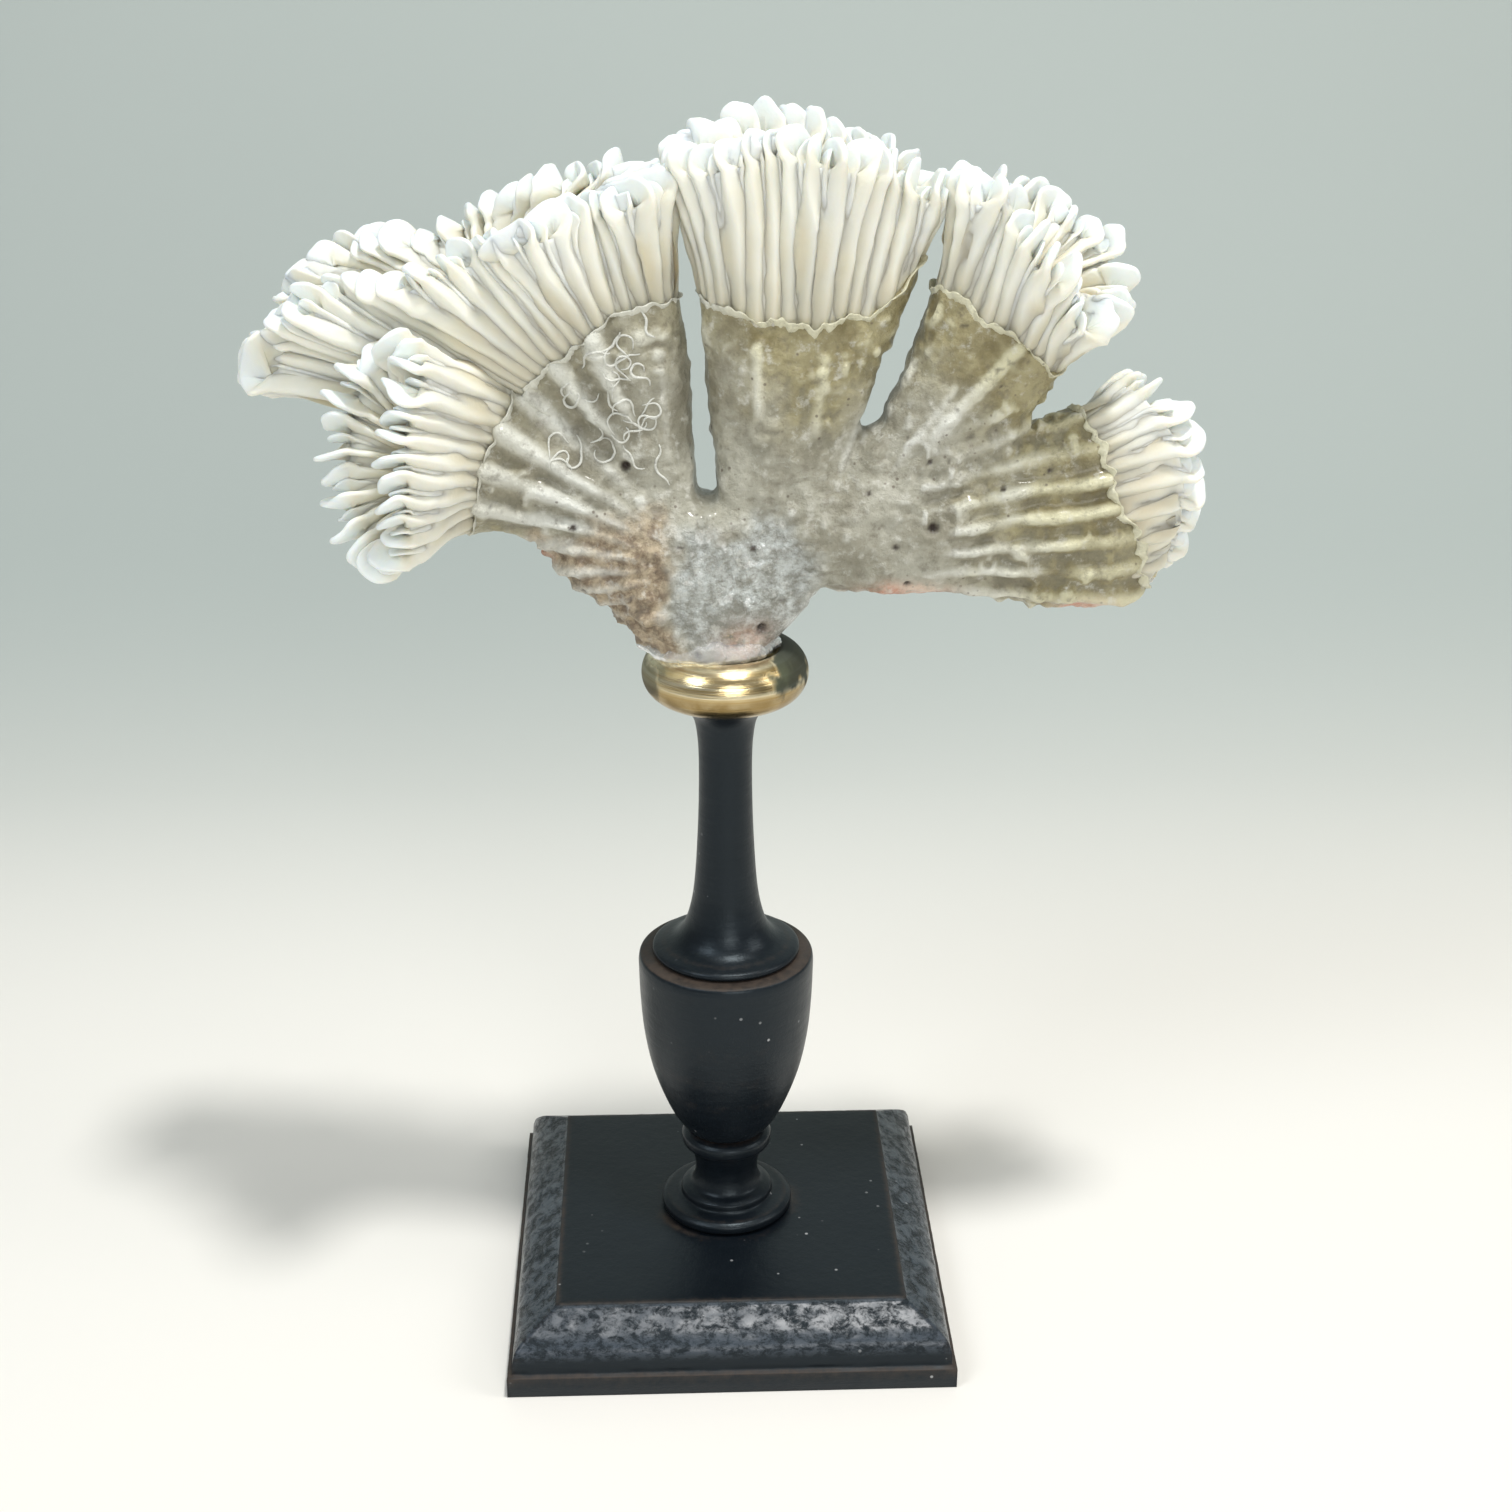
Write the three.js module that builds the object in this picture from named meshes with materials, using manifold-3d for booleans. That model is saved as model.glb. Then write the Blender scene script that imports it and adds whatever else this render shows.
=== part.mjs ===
// Branching fan of stony coral on a brass collar and a turned, black painted stand.
// Millimetres, +Z up. The origin is the middle of the plinth's underside, on the turned stem's axis.
// The coral's broad side faces -Y, and its longest lobe reaches towards -X.

import * as THREE from "three";
import { mergeVertices } from "three/addons/utils/BufferGeometryUtils.js";
import Module from "manifold-3d";

const wasm = await Module();
wasm.setup();

// ---- driving dimensions ----

const gap = 0.3; // clearance between neighbouring pieces
const turnedSides = 28; // flats round every turned piece

const plinthWidth = 105;
const plinthHeight = 17.7;
const plinthTopWidth = 82;
const filletHeight = 5.2; // square edge at the plinth's foot

const beadTop = 40; // top of the ring above the spool
const shoulderHeight = 89.3; // top of the urn
const neckTop = 153.8; // seat of the brass collar

const collarRadius = 19;
const collarHeight = 13;
const collarDishDepth = 3; // hollow in the collar's top that takes the coral's foot
const collarDishRadius = 12.5;

const skirtRadius = 12.8; // set glue round the coral's foot
const skirtStretch = 1.12; // the skirt is wider along X, as the foot is
const skirtOffset = -3.4;

const septumSpacing = 5.8; // from one big radial plate to the next, along the rim
const septumRise = 6; // how far the plates stand above the rim
const costaDepth = 1.1; // ribs that carry on down the outside of the rim
const wallRidge = 0.5; // ripples of the dead wall below the living edge
const wrapperStep = 0.8; // thickness of the crust that wraps the dead wall
const edgeLevel = 2 / 3; // the crust ends two thirds of the way along every growth rail

// ---- materials ----

function finish(color, roughness, metalness = 0) {
  return new THREE.MeshStandardMaterial({ color, roughness, metalness, side: THREE.FrontSide });
}

const blackPaint = finish(0x14171b, 0.38);
const polishedBrass = finish(0xc9a45c, 0.22, 1);
const clearGlue = finish(0xcdd0ca, 0.15);
const deadCoral = finish(0xa59f8a, 0.85);
const whiteCoral = finish(0xf1ece0, 0.6);

// ---- meshes ----

const coral = new THREE.Group();

function addPiece(name, geometry, material) {
  geometry.computeVertexNormals();
  const piece = new THREE.Mesh(geometry, material);
  piece.name = name;
  coral.add(piece);
}

function weld(geometry) {
  geometry.deleteAttribute("normal");
  geometry.deleteAttribute("uv");
  return mergeVertices(geometry, 1e-4);
}

function gridGeometry(rows) {
  // rows of closed loops, each listed anticlockwise as seen from beyond the last row
  const columns = rows[0].length;
  const points = rows.flat();
  const triangles = [];
  for (let row = 0; row + 1 < rows.length; row += 1) {
    for (let column = 0; column < columns; column += 1) {
      const a = row * columns + column;
      const b = row * columns + ((column + 1) % columns);
      triangles.push(a, b, b + columns, a, b + columns, a + columns);
    }
  }
  capLoop(triangles, 0, columns, true);
  capLoop(triangles, (rows.length - 1) * columns, columns, false);
  const geometry = new THREE.BufferGeometry();
  geometry.setFromPoints(points);
  geometry.setIndex(triangles);
  return geometry;
}

function capLoop(triangles, start, columns, faceDown) {
  // closes a flat loop by joining column k to its mirror, columns - k
  for (let k = 0; k < columns / 2; k += 1) {
    const a = start + k;
    const b = start + k + 1;
    const c = start + columns - k - 1;
    const d = start + ((columns - k) % columns);
    const faces = [];
    if (b !== c) faces.push([a, b, c]);
    if (a !== d) faces.push([a, c, d]);
    for (const [p, q, r] of faces) {
      if (faceDown) triangles.push(p, r, q);
      else triangles.push(p, q, r);
    }
  }
}

function solid(geometry) {
  const welded = weld(geometry.clone());
  return new wasm.Manifold(new wasm.Mesh({
    numProp: 3,
    vertProperties: new Float32Array(welded.attributes.position.array),
    triVerts: new Uint32Array(welded.index.array),
  }));
}

function meshOf(body) {
  const { vertProperties, triVerts } = body.getMesh();
  const geometry = new THREE.BufferGeometry();
  geometry.setAttribute("position", new THREE.BufferAttribute(vertProperties, 3));
  geometry.setIndex(new THREE.BufferAttribute(triVerts, 1));
  return geometry;
}

function grown(geometry, distance) {
  // the same shape with every point moved out along its normal
  const larger = weld(geometry.clone());
  larger.computeVertexNormals();
  const { position, normal } = larger.attributes;
  for (let i = 0; i < position.count; i += 1) {
    position.setXYZ(
      i,
      position.getX(i) + distance * normal.getX(i),
      position.getY(i) + distance * normal.getY(i),
      position.getZ(i) + distance * normal.getZ(i),
    );
  }
  return larger;
}

function largestBody(body) {
  const bodies = body.decompose();
  return bodies.reduce((best, next) => (next.volume() > best.volume() ? next : best));
}

// ---- stand ----

function turned(profile) {
  const points = profile.map(([radius, height]) => new THREE.Vector2(radius, height));
  const geometry = new THREE.LatheGeometry(points, turnedSides);
  geometry.rotateX(Math.PI / 2); // the lathe turns about Y
  return weld(geometry);
}

function arcPoints(centreRadius, centreHeight, radius, startDegrees, endDegrees, steps) {
  const points = [];
  for (let i = 0; i <= steps; i += 1) {
    const angle = THREE.MathUtils.degToRad(startDegrees + ((endDegrees - startDegrees) * i) / steps);
    points.push([centreRadius + radius * Math.cos(angle), centreHeight + radius * Math.sin(angle)]);
  }
  return points;
}

function squareBlock(profile) {
  // a mitred moulding: every profile point [half width, height] is a square ring
  const rows = profile.map(([half, height]) => [
    new THREE.Vector3(-half, -half, height),
    new THREE.Vector3(half, -half, height),
    new THREE.Vector3(half, half, height),
    new THREE.Vector3(-half, half, height),
  ]);
  return gridGeometry(rows);
}

const plinthHalf = plinthWidth / 2;
const plinthTopHalf = plinthTopWidth / 2;
addPiece("plinth", squareBlock([
  [plinthHalf, 0],
  [plinthHalf, filletHeight],
  [plinthHalf - 1.2, filletHeight + 0.3],
  [plinthHalf - 1.3, filletHeight + 3.6],
  [plinthHalf - 2.4, filletHeight + 6.6],
  [plinthHalf - 5.2, filletHeight + 9.4],
  [plinthHalf - 9.6, filletHeight + 11.3],
  [plinthTopHalf + 0.5, plinthHeight - 0.9],
  [plinthTopHalf, plinthHeight],
]), blackPaint);

const footBase = plinthHeight + gap;
addPiece("stem_foot", turned([
  [0, footBase],
  [15.4, footBase],
  ...arcPoints(14.6, footBase + 1.5, 1.5, -30, 80, 3),
  [11.4, footBase + 3.5],
  ...arcPoints(10, footBase + 4.7, 1.1, -20, 80, 2),
  [8.4, footBase + 6.6],
  [7.7, footBase + 9.5],
  [7.9, footBase + 13],
  [8.9, footBase + 16.5],
  ...arcPoints(9.6, beadTop - 1.7, 1.4, -70, 70, 3),
  [8.8, beadTop],
  [0, beadTop],
]), blackPaint);

const urnBase = beadTop + gap;
addPiece("stem_urn", turned([
  [0, urnBase],
  [9.2, urnBase],
  [10.6, urnBase + 1.3],
  [13.2, 45.4],
  [16, 52],
  [18.4, 59.5],
  [20, 68.5],
  [20.7, 78],
  [20.9, 87.6],
  [20.3, shoulderHeight],
  [0, shoulderHeight],
]), blackPaint);

const neckBase = shoulderHeight + gap;
addPiece("stem_neck", turned([
  [0, neckBase],
  [17.3, neckBase],
  [17.6, neckBase + 1],
  [16.6, neckBase + 1.9],
  [12.6, neckBase + 3.1],
  [9.7, neckBase + 6.7],
  [8.2, neckBase + 11.8],
  [7.2, neckBase + 18.5],
  [6.3, neckBase + 35],
  [6.1, neckBase + 49],
  [6.5, neckTop - 4.6],
  [7.9, neckTop - 2],
  [10.3, neckTop - 0.8],
  [10.3, neckTop],
  [0, neckTop],
]), blackPaint);

const collarBase = neckTop + gap;
const collarTop = collarBase + collarHeight;
const beadRadius = collarHeight / 2;
const collarGeometry = turned([
  [0, collarBase],
  ...arcPoints(collarRadius - beadRadius, collarBase + beadRadius, beadRadius, -88, 82, 12),
  [collarDishRadius, collarTop - 0.5],
  [collarDishRadius - 1, collarTop - collarDishDepth],
  [0, collarTop - collarDishDepth],
]);
addPiece("brass_collar", collarGeometry, polishedBrass);

// ---- coral ----

// Every branch is a flattened cup. Its middle surface is drawn by growth rails, one from each
// edge of the lobe and some between. A rail lists four points: at the fork, on the dead wall,
// at the end of the crust and at the rim.
const rail = (...points) => new THREE.CatmullRomCurve3(
  points.map((point) => new THREE.Vector3(...point)), false, "catmullrom", 0.5,
);

const centreBranch = {
  halfThickness: [8.5, 8, 9.5, 12],
  valleyDepth: 14,
  rails: [
    rail([0, 0, 195], [-2.5, 0, 220], [-4.5, 0, 246], [-10, 1, 271]),
    rail([7, 0, 194], [6, 0, 217], [8, 0, 238], [7, 2, 276]),
    rail([14, 0, 194], [16, 0, 215], [21, 0, 236], [25, 2, 274]),
    rail([22, 0, 196], [29, 0, 221], [38.5, 0, 246], [45, 1, 265]),
  ],
};

const rightCentreBranch = {
  halfThickness: [8.5, 8, 9.5, 11.5],
  valleyDepth: 13,
  rails: [
    rail([30, 0, 203], [38.5, 0, 226], [45.5, 0, 247], [50, 1, 265]),
    rail([36, 0, 202], [46, 0, 222], [53, -1, 244], [61, -1, 264]),
    rail([46, 0, 201], [57, 0, 218], [64, -1, 237], [74, -4, 255]),
    rail([56, 0, 202], [64, 0, 216], [72, -1, 230], [81, -7, 241]),
  ],
};

const rightBranch = {
  halfThickness: [9, 9, 9.5, 11],
  valleyDepth: 11,
  rails: [
    rail([20, 0, 204], [56, 0, 213], [77, 1, 219], [87, 5, 223]),
    rail([20, 0, 197], [57, 0, 203], [82, 1, 207], [94, 6, 211]),
    rail([20, 0, 190], [57, 0, 191], [85, 1, 192], [94, 8, 196]),
    rail([20, 0, 184], [54, 0, 179], [84, 1, 176], [89, 8, 181]),
  ],
};

const leftBranch = {
  halfThickness: [8.5, 8, 9, 11.5],
  valleyDepth: 12,
  rails: [
    rail([-12, 0, 197], [-29, 0, 213], [-46, -1, 225], [-64, -13, 236]),
    rail([-13, 0, 194], [-34, 0, 207], [-54, 0, 215], [-72, -14, 222]),
    rail([-15, 0, 191], [-37, 0, 200], [-57, 0, 203], [-74, -14, 206]),
    rail([-18, 0, 188], [-38, 0, 193], [-56, -2, 195], [-71, -13, 192]),
  ],
};

const rearLeftBranch = {
  halfThickness: [8, 8, 9.5, 12],
  valleyDepth: 14,
  rails: [
    rail([-12, 2, 196], [-36, 6, 211], [-62, 12, 218], [-98, 16, 224]),
    rail([-11, 1, 197], [-32, 5, 217], [-54, 9, 228], [-89, 14, 245]),
    rail([-9, 1, 197], [-26, 3, 222], [-42, 5, 235], [-64, 9, 253]),
    rail([-7, 0, 197], [-18, 1, 227], [-25, 1, 243], [-34, 3, 265]),
    rail([-6, 0, 195], [-8, 0, 224], [-10.5, 0, 246], [-12, 1, 267]),
  ],
};

const foot = {
  halfThickness: [10.5, 11, 10.5, 9.5],
  rails: [
    rail([-13.5, 0, 165.5], [-24, 0, 174.5], [-35, 0, 183.5], [-42, 0, 191]),
    rail([-8, 0, 164.5], [-16, 0, 178], [-21, 0, 187], [-24, 0, 197]),
    rail([0, 0, 164.5], [-1, 0, 178], [-1, 0, 190], [-1, 0, 200]),
    rail([8, 0, 165.5], [16, 0, 174], [21, 0, 181], [23, 0, 199]),
  ],
};

function middlePoint(branch, across, along) {
  const points = branch.rails.map((curve) => curve.getPoint(along));
  return new THREE.CatmullRomCurve3(points, false, "catmullrom", 0.5).getPoint(across);
}

function thicknessAt(branch, along) {
  const stops = branch.halfThickness;
  const place = Math.min(Math.max(along, 0), 1) * (stops.length - 1);
  const index = Math.min(Math.floor(place), stops.length - 2);
  return THREE.MathUtils.lerp(stops[index], stops[index + 1], place - index);
}

function loopPoint(branch, angle, along, widthShare = 1) {
  // angle 0 is the first rail's edge, and the front (-Y) side comes before half a turn
  const across = 0.5 - 0.5 * Math.cos(angle) * (0.4 + 0.6 * widthShare);
  const small = 0.01;
  const here = middlePoint(branch, across, along);
  const sideways = middlePoint(branch, Math.min(across + small, 1), along)
    .sub(middlePoint(branch, Math.max(across - small, 0), along));
  const growth = middlePoint(branch, across, Math.min(along + small, 1))
    .sub(middlePoint(branch, across, Math.max(along - small, 0)));
  const front = sideways.clone().cross(growth).normalize();
  const sine = Math.sin(angle);
  const offset = Math.sign(sine) * Math.abs(sine) ** 0.7 * thicknessAt(branch, along) * widthShare;
  return { point: here.addScaledVector(front, offset), growth: growth.normalize() };
}

function evenAngles(branch, count) {
  // angles that space the loop's front half evenly along the rim, mirrored to the back half
  const steps = 200;
  const lengths = [0];
  let last = loopPoint(branch, 0, 1).point;
  for (let i = 1; i <= steps; i += 1) {
    const next = loopPoint(branch, (Math.PI * i) / steps, 1).point;
    lengths.push(lengths[i - 1] + next.distanceTo(last));
    last = next;
  }
  const half = count / 2;
  const front = [];
  for (let k = 0; k <= half; k += 1) {
    const target = (lengths[steps] * k) / half;
    const i = Math.min(Math.max(lengths.findIndex((length) => length >= target), 1), steps);
    const share = (target - lengths[i - 1]) / (lengths[i] - lengths[i - 1]);
    front.push((Math.PI * (i - 1 + share)) / steps);
  }
  const back = front.slice(1, half).reverse().map((angle) => 2 * Math.PI - angle);
  return { angles: [...front, ...back], rimLength: 2 * lengths[steps] };
}

function loopRow(branch, angles, along, { rib = 0, groove = 0, lift = 0, widthShare = 1 } = {}) {
  // every second column is a rib, moved outward by rib and along the growth by lift;
  // the columns between them are grooves, moved outward by groove
  const samples = angles.map((angle) => loopPoint(branch, angle, along, widthShare));
  return samples.map(({ point, growth }, column) => {
    const before = samples[(column + angles.length - 1) % angles.length].point;
    const after = samples[(column + 1) % angles.length].point;
    const outward = after.clone().sub(before).cross(growth).normalize();
    const isRib = column % 2 === 0;
    return point.clone()
      .addScaledVector(outward, isRib ? rib : groove)
      .addScaledVector(growth, isRib ? lift : 0);
  });
}

function branchGeometry(branch) {
  const ribs = Math.round(evenAngles(branch, 8).rimLength / septumSpacing / 2) * 2;
  const { angles } = evenAngles(branch, 2 * ribs);
  const plain = { rib: wrapperStep, groove: wrapperStep };
  const wall = { rib: wrapperStep + wallRidge, groove: wrapperStep - wallRidge };
  const bare = { rib: costaDepth, groove: -costaDepth / 2 };
  const flare = { rib: costaDepth * 1.6, lift: 1 };
  const crest = { groove: -1, lift: septumRise, widthShare: 0.86 };
  const slope = { lift: septumRise / 2, widthShare: 0.5 };
  const growthLength = branch.rails[1].getLength();
  const floorLevel = 1 - branch.valleyDepth / growthLength;
  const rows = [
    loopRow(branch, angles, 0),
    loopRow(branch, angles, edgeLevel / 2, plain),
    loopRow(branch, angles, edgeLevel - 0.01, wall),
    loopRow(branch, angles, edgeLevel + 0.01, bare),
    loopRow(branch, angles, 0.98, flare),
    loopRow(branch, angles, 1, crest),
    loopRow(branch, angles, 0.97, slope),
    loopRow(branch, angles, floorLevel, { widthShare: 0.14 }),
  ];
  return gridGeometry(rows);
}

function footGeometry() {
  const { angles } = evenAngles(foot, 36);
  const rows = [0, 0.17, 0.4, 0.65, 0.85, 1].map((along) => loopRow(foot, angles, along));
  return gridGeometry(rows);
}

function skirtGeometry() {
  // a low dome of set glue; the foot stands through it and the collar shapes its underside
  const geometry = turned([
    [0, collarTop - collarDishDepth],
    [11, collarTop - collarDishDepth],
    [skirtRadius, collarTop - 2],
    [skirtRadius + 0.6, collarTop - 0.6],
    [skirtRadius - 0.3, collarTop + 0.8],
    [11, collarTop + 2.6],
    [0, collarTop + 4],
  ]);
  geometry.scale(skirtStretch, 1, 1);
  geometry.translate(skirtOffset, 0, 0);
  return geometry;
}

// The pieces part at the forks: each later piece is cut back from the ones already placed.
const placed = [grown(collarGeometry, gap)];

function addCoral(name, geometry, material) {
  let body = solid(geometry);
  for (const neighbour of placed) {
    body = body.subtract(solid(neighbour));
  }
  addPiece(name, meshOf(largestBody(body)), material);
  placed.push(grown(geometry, gap));
}

addCoral("coral_foot", footGeometry(), deadCoral);
addCoral("glue_skirt", skirtGeometry(), clearGlue);
addCoral("coral_branch_centre", branchGeometry(centreBranch), whiteCoral);
addCoral("coral_branch_left", branchGeometry(leftBranch), whiteCoral);
addCoral("coral_branch_left_rear", branchGeometry(rearLeftBranch), whiteCoral);
addCoral("coral_branch_right", branchGeometry(rightBranch), whiteCoral);
addCoral("coral_branch_right_centre", branchGeometry(rightCentreBranch), whiteCoral);

export default coral;
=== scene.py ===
import math
import bpy
import bmesh
import numpy as np
from mathutils import Matrix, Vector, kdtree
from mathutils.bvhtree import BVHTree


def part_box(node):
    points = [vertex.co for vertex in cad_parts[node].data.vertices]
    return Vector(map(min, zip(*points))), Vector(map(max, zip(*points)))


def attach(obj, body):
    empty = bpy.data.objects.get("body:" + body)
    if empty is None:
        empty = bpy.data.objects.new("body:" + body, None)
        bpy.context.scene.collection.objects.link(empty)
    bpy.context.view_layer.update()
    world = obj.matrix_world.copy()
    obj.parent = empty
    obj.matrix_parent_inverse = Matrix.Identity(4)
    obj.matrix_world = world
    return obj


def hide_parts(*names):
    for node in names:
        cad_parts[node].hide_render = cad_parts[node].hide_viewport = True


# A fan of stony coral on a brass collar and a turned, black painted stand.
# Coral shapes are in millimetres from a point on the axis, 7.8 below the collar's top; place() turns
# them into metres.

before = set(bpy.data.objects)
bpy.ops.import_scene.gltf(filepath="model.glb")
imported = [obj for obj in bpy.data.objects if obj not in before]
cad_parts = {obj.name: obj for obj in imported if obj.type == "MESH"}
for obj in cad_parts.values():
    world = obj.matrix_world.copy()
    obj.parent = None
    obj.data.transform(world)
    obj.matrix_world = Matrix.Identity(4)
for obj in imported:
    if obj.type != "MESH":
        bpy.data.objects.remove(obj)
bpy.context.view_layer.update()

mm = 0.001
coralZero = np.array([0.0, 0.0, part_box("brass_collar")[1][2] - 7.8 * mm])
coralRise = 123.2  # from that point to the tallest tip, in the units of the rails below
unit = (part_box("coral_branch_centre")[1][2] - coralZero[2]) / coralRise


def place(points):
    return np.asarray(points, float) * unit + coralZero


def lattice(x, y, z, seed):
    # a fixed value from -1 to 1 for each whole place, so that every run gives the same coral
    n = (x * 73856093) ^ (y * 19349663) ^ (z * 83492791) ^ (seed * 40503)
    n = ((n ^ (n >> 13)) * 60493 + n * 19990303 + 1376312589) & 0x7FFFFFFF
    n = (n ^ (n >> 15)) & 0xFFFF
    return n / 32767.5 - 1.0


def softNoise(points, size, seed=0):
    q = np.asarray(points, float) / size + 1000.0
    cell = np.floor(q).astype(np.int64)
    f = q - cell
    f = f * f * (3 - 2 * f)
    total = 0.0
    for corner in range(8):
        dx, dy, dz = corner & 1, (corner >> 1) & 1, (corner >> 2) & 1
        weight = np.abs(1 - dx - f[..., 0]) * np.abs(1 - dy - f[..., 1]) * np.abs(1 - dz - f[..., 2])
        total = total + weight * lattice(cell[..., 0] + dx, cell[..., 1] + dy, cell[..., 2] + dz, seed)
    return total


def layeredNoise(points, size, seed=0, layers=3):
    return sum(softNoise(points, size / 2 ** i, seed + i) / 2 ** i for i in range(layers))


def smoothStep(low, high, value):
    share = np.clip((np.asarray(value, float) - low) / (high - low), 0, 1)
    return share * share * (3 - 2 * share)


def unitVectors(vectors):
    return vectors / np.maximum(np.linalg.norm(vectors, axis=-1, keepdims=True), 1e-9)


def gridFaces(rowCount, columnCount):
    # four-sided faces of a tube: each row is a closed loop
    rows = np.arange(rowCount - 1)[:, None] * columnCount
    columns = np.arange(columnCount)[None, :]
    after = (columns + 1) % columnCount
    above = rows + columnCount
    return np.stack([rows + columns, rows + after, above + after, above + columns], -1).reshape(-1, 4)


def wheelFaces(rowCount, columnCount):
    # a tube whose last row meets its first
    last = (rowCount - 1) * columnCount
    closing = [(last + i, last + (i + 1) % columnCount, (i + 1) % columnCount, i) for i in range(columnCount)]
    return list(gridFaces(rowCount, columnCount)) + closing


def endCaps(rowCount, columnCount):
    # one flat face for each end of a tube
    return [list(range(columnCount))[::-1], list(range((rowCount - 1) * columnCount, rowCount * columnCount))]


def ladderFaces(start, count, flip):
    # closes a loop by joining column k to its mirror, count - k
    faces = []
    for k in range(count // 2):
        ring = [start + k, start + k + 1, start + count - k - 1, start + (count - k) % count]
        ring = list(dict.fromkeys(ring))
        faces.append(ring[::-1] if flip else ring)
    return faces


def writeMasks(mesh, masks):
    # one number a point, read by the materials
    for label, values in masks.items():
        layer = mesh.attributes.new(label, "FLOAT", "POINT")
        layer.data.foreach_set("value", np.asarray(values, np.float32))
    mesh.update()


def makeMesh(name, points, faces, masks=None):
    mesh = bpy.data.meshes.new(name)
    mesh.from_pydata([tuple(p) for p in points], [], [tuple(int(i) for i in f) for f in faces])
    writeMasks(mesh, masks or {})
    mesh.polygons.foreach_set("use_smooth", [True] * len(mesh.polygons))
    piece = bpy.data.objects.new(name, mesh)
    bpy.context.scene.collection.objects.link(piece)
    return piece


def finishPiece(piece, material, slotName, *nodes):
    piece.data.materials.append(material)
    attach(piece, "root")
    if nodes:
        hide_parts(*nodes)
    return piece


class Value:
    # wraps a socket so that shader maths reads as plain expressions
    def __init__(self, graph, socket):
        self.graph = graph
        self.socket = socket

    def __add__(self, other):
        return self.graph.maths("ADD", self, other)

    __radd__ = __add__

    def __sub__(self, other):
        return self.graph.maths("SUBTRACT", self, other)

    def __rsub__(self, other):
        return self.graph.maths("SUBTRACT", other, self)

    def __mul__(self, other):
        return self.graph.maths("MULTIPLY", self, other)

    __rmul__ = __mul__

    def clamped(self):
        return self.graph.maths("MAXIMUM", self.graph.maths("MINIMUM", self, 1.0), 0.0)

    def between(self, low, high):
        # 0 below low, 1 above high, eased in between
        return self.graph.add("ShaderNodeMapRange", {"interpolation_type": "SMOOTHSTEP"},
                              {"Value": self, "From Min": low, "From Max": high})


class Graph:
    def __init__(self, name):
        self.material = bpy.data.materials.new(name)
        self.material.use_nodes = True
        self.tree = self.material.node_tree
        self.tree.nodes.clear()
        self.output = self.tree.nodes.new("ShaderNodeOutputMaterial")

    def add(self, kind, settings=None, sockets=None, out=0):
        node = self.tree.nodes.new(kind)
        for key, value in (settings or {}).items():
            setattr(node, key, value)
        for key, value in (sockets or {}).items():
            target = node.inputs[key]
            if isinstance(value, Value):
                self.tree.links.new(value.socket, target)
            else:
                target.default_value = value
        return Value(self, node.outputs[out])

    def maths(self, operation, first, second):
        return self.add("ShaderNodeMath", {"operation": operation}, {0: first, 1: second})

    def mix(self, factor, first, second):
        # sockets 0, 6 and 7 are the factor and the two colours of a Mix node
        settings = {"data_type": "RGBA", "clamp_factor": True}
        pair = {0: factor, 6: self.rgba(first), 7: self.rgba(second)}
        return self.add("ShaderNodeMix", settings, pair, out=2)

    def rgba(self, color):
        return color if isinstance(color, Value) else (*color, 1.0)

    def attribute(self, name):
        return self.add("ShaderNodeAttribute", {"attribute_name": name}, out=2)

    def coordinates(self):
        return self.add("ShaderNodeTexCoord", out=3)

    def stretched(self, vector, scale):
        return self.add("ShaderNodeVectorMath", {"operation": "MULTIPLY"}, {0: vector, 1: scale})

    def noise(self, scale, detail=3.0, roughness=0.55, vector=None, distortion=0.0):
        sockets = {"Vector": vector or self.coordinates(), "Scale": scale, "Detail": detail,
                   "Roughness": roughness, "Distortion": distortion}
        return self.add("ShaderNodeTexNoise", None, sockets)

    def cells(self, scale):
        return self.add("ShaderNodeTexVoronoi", None, {"Vector": self.coordinates(), "Scale": scale})

    def bump(self, height, distance, strength):
        sockets = {"Height": height, "Distance": distance, "Strength": strength}
        return self.add("ShaderNodeBump", None, sockets)

    def surface(self, sockets):
        return self.add("ShaderNodeBsdfPrincipled", None, sockets)

    def close(self, shader):
        self.tree.links.new(shader.socket, self.output.inputs["Surface"])
        return self.material


studio = {
    "cameraPlace": (-0.0126, -0.4874, 0.3493),
    "pitchDegrees": 23.30,
    "yawDegrees": -2.31,
    "rollDegrees": 0.17,
    "lensMillimetres": 54.8,
    "wallDistance": 0.3,
    "sweepRadius": 0.45,
    "floorColor": (0.88, 0.86, 0.815),
    "wallColor": (0.49, 0.545, 0.525),
    "lampAim": (0.0, 0.0, 0.22),
    "lamps": {  # place, size, watts and colour
        "front": ((0.2, -1.1, 0.55), 0.6, 4.6, (1.0, 0.985, 0.96)),
        "key": ((0.155, -0.18, 1.2), 0.13, 7.6, (1.0, 0.985, 0.96)),
        "right": ((0.95, -0.25, 0.75), 0.5, 2.6, (1.0, 0.98, 0.95)),
        "left": ((-0.62, -0.5, 0.95), 0.45, 3.4, (0.88, 0.94, 1.0)),
    },
    "worldColor": (0.78, 0.79, 0.77, 1),
    "worldStrength": 0.34,
}


def makeCamera():
    camera = bpy.data.objects.new("camera", bpy.data.cameras.new("camera"))
    bpy.context.scene.collection.objects.link(camera)
    pitch = math.radians(studio["pitchDegrees"])
    yaw = math.radians(studio["yawDegrees"])
    forward = Vector((-math.sin(yaw) * math.cos(pitch), math.cos(yaw) * math.cos(pitch), -math.sin(pitch)))
    right = Vector((math.cos(yaw), math.sin(yaw), 0))
    up = right.cross(forward)
    turn = Matrix((right, up, -forward)).transposed().to_4x4()
    roll = Matrix.Rotation(math.radians(studio["rollDegrees"]), 4, "Z")
    camera.matrix_world = Matrix.Translation(studio["cameraPlace"]) @ turn @ roll
    camera.data.sensor_width = 36
    camera.data.lens = studio["lensMillimetres"]
    bpy.context.scene.camera = camera


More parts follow.
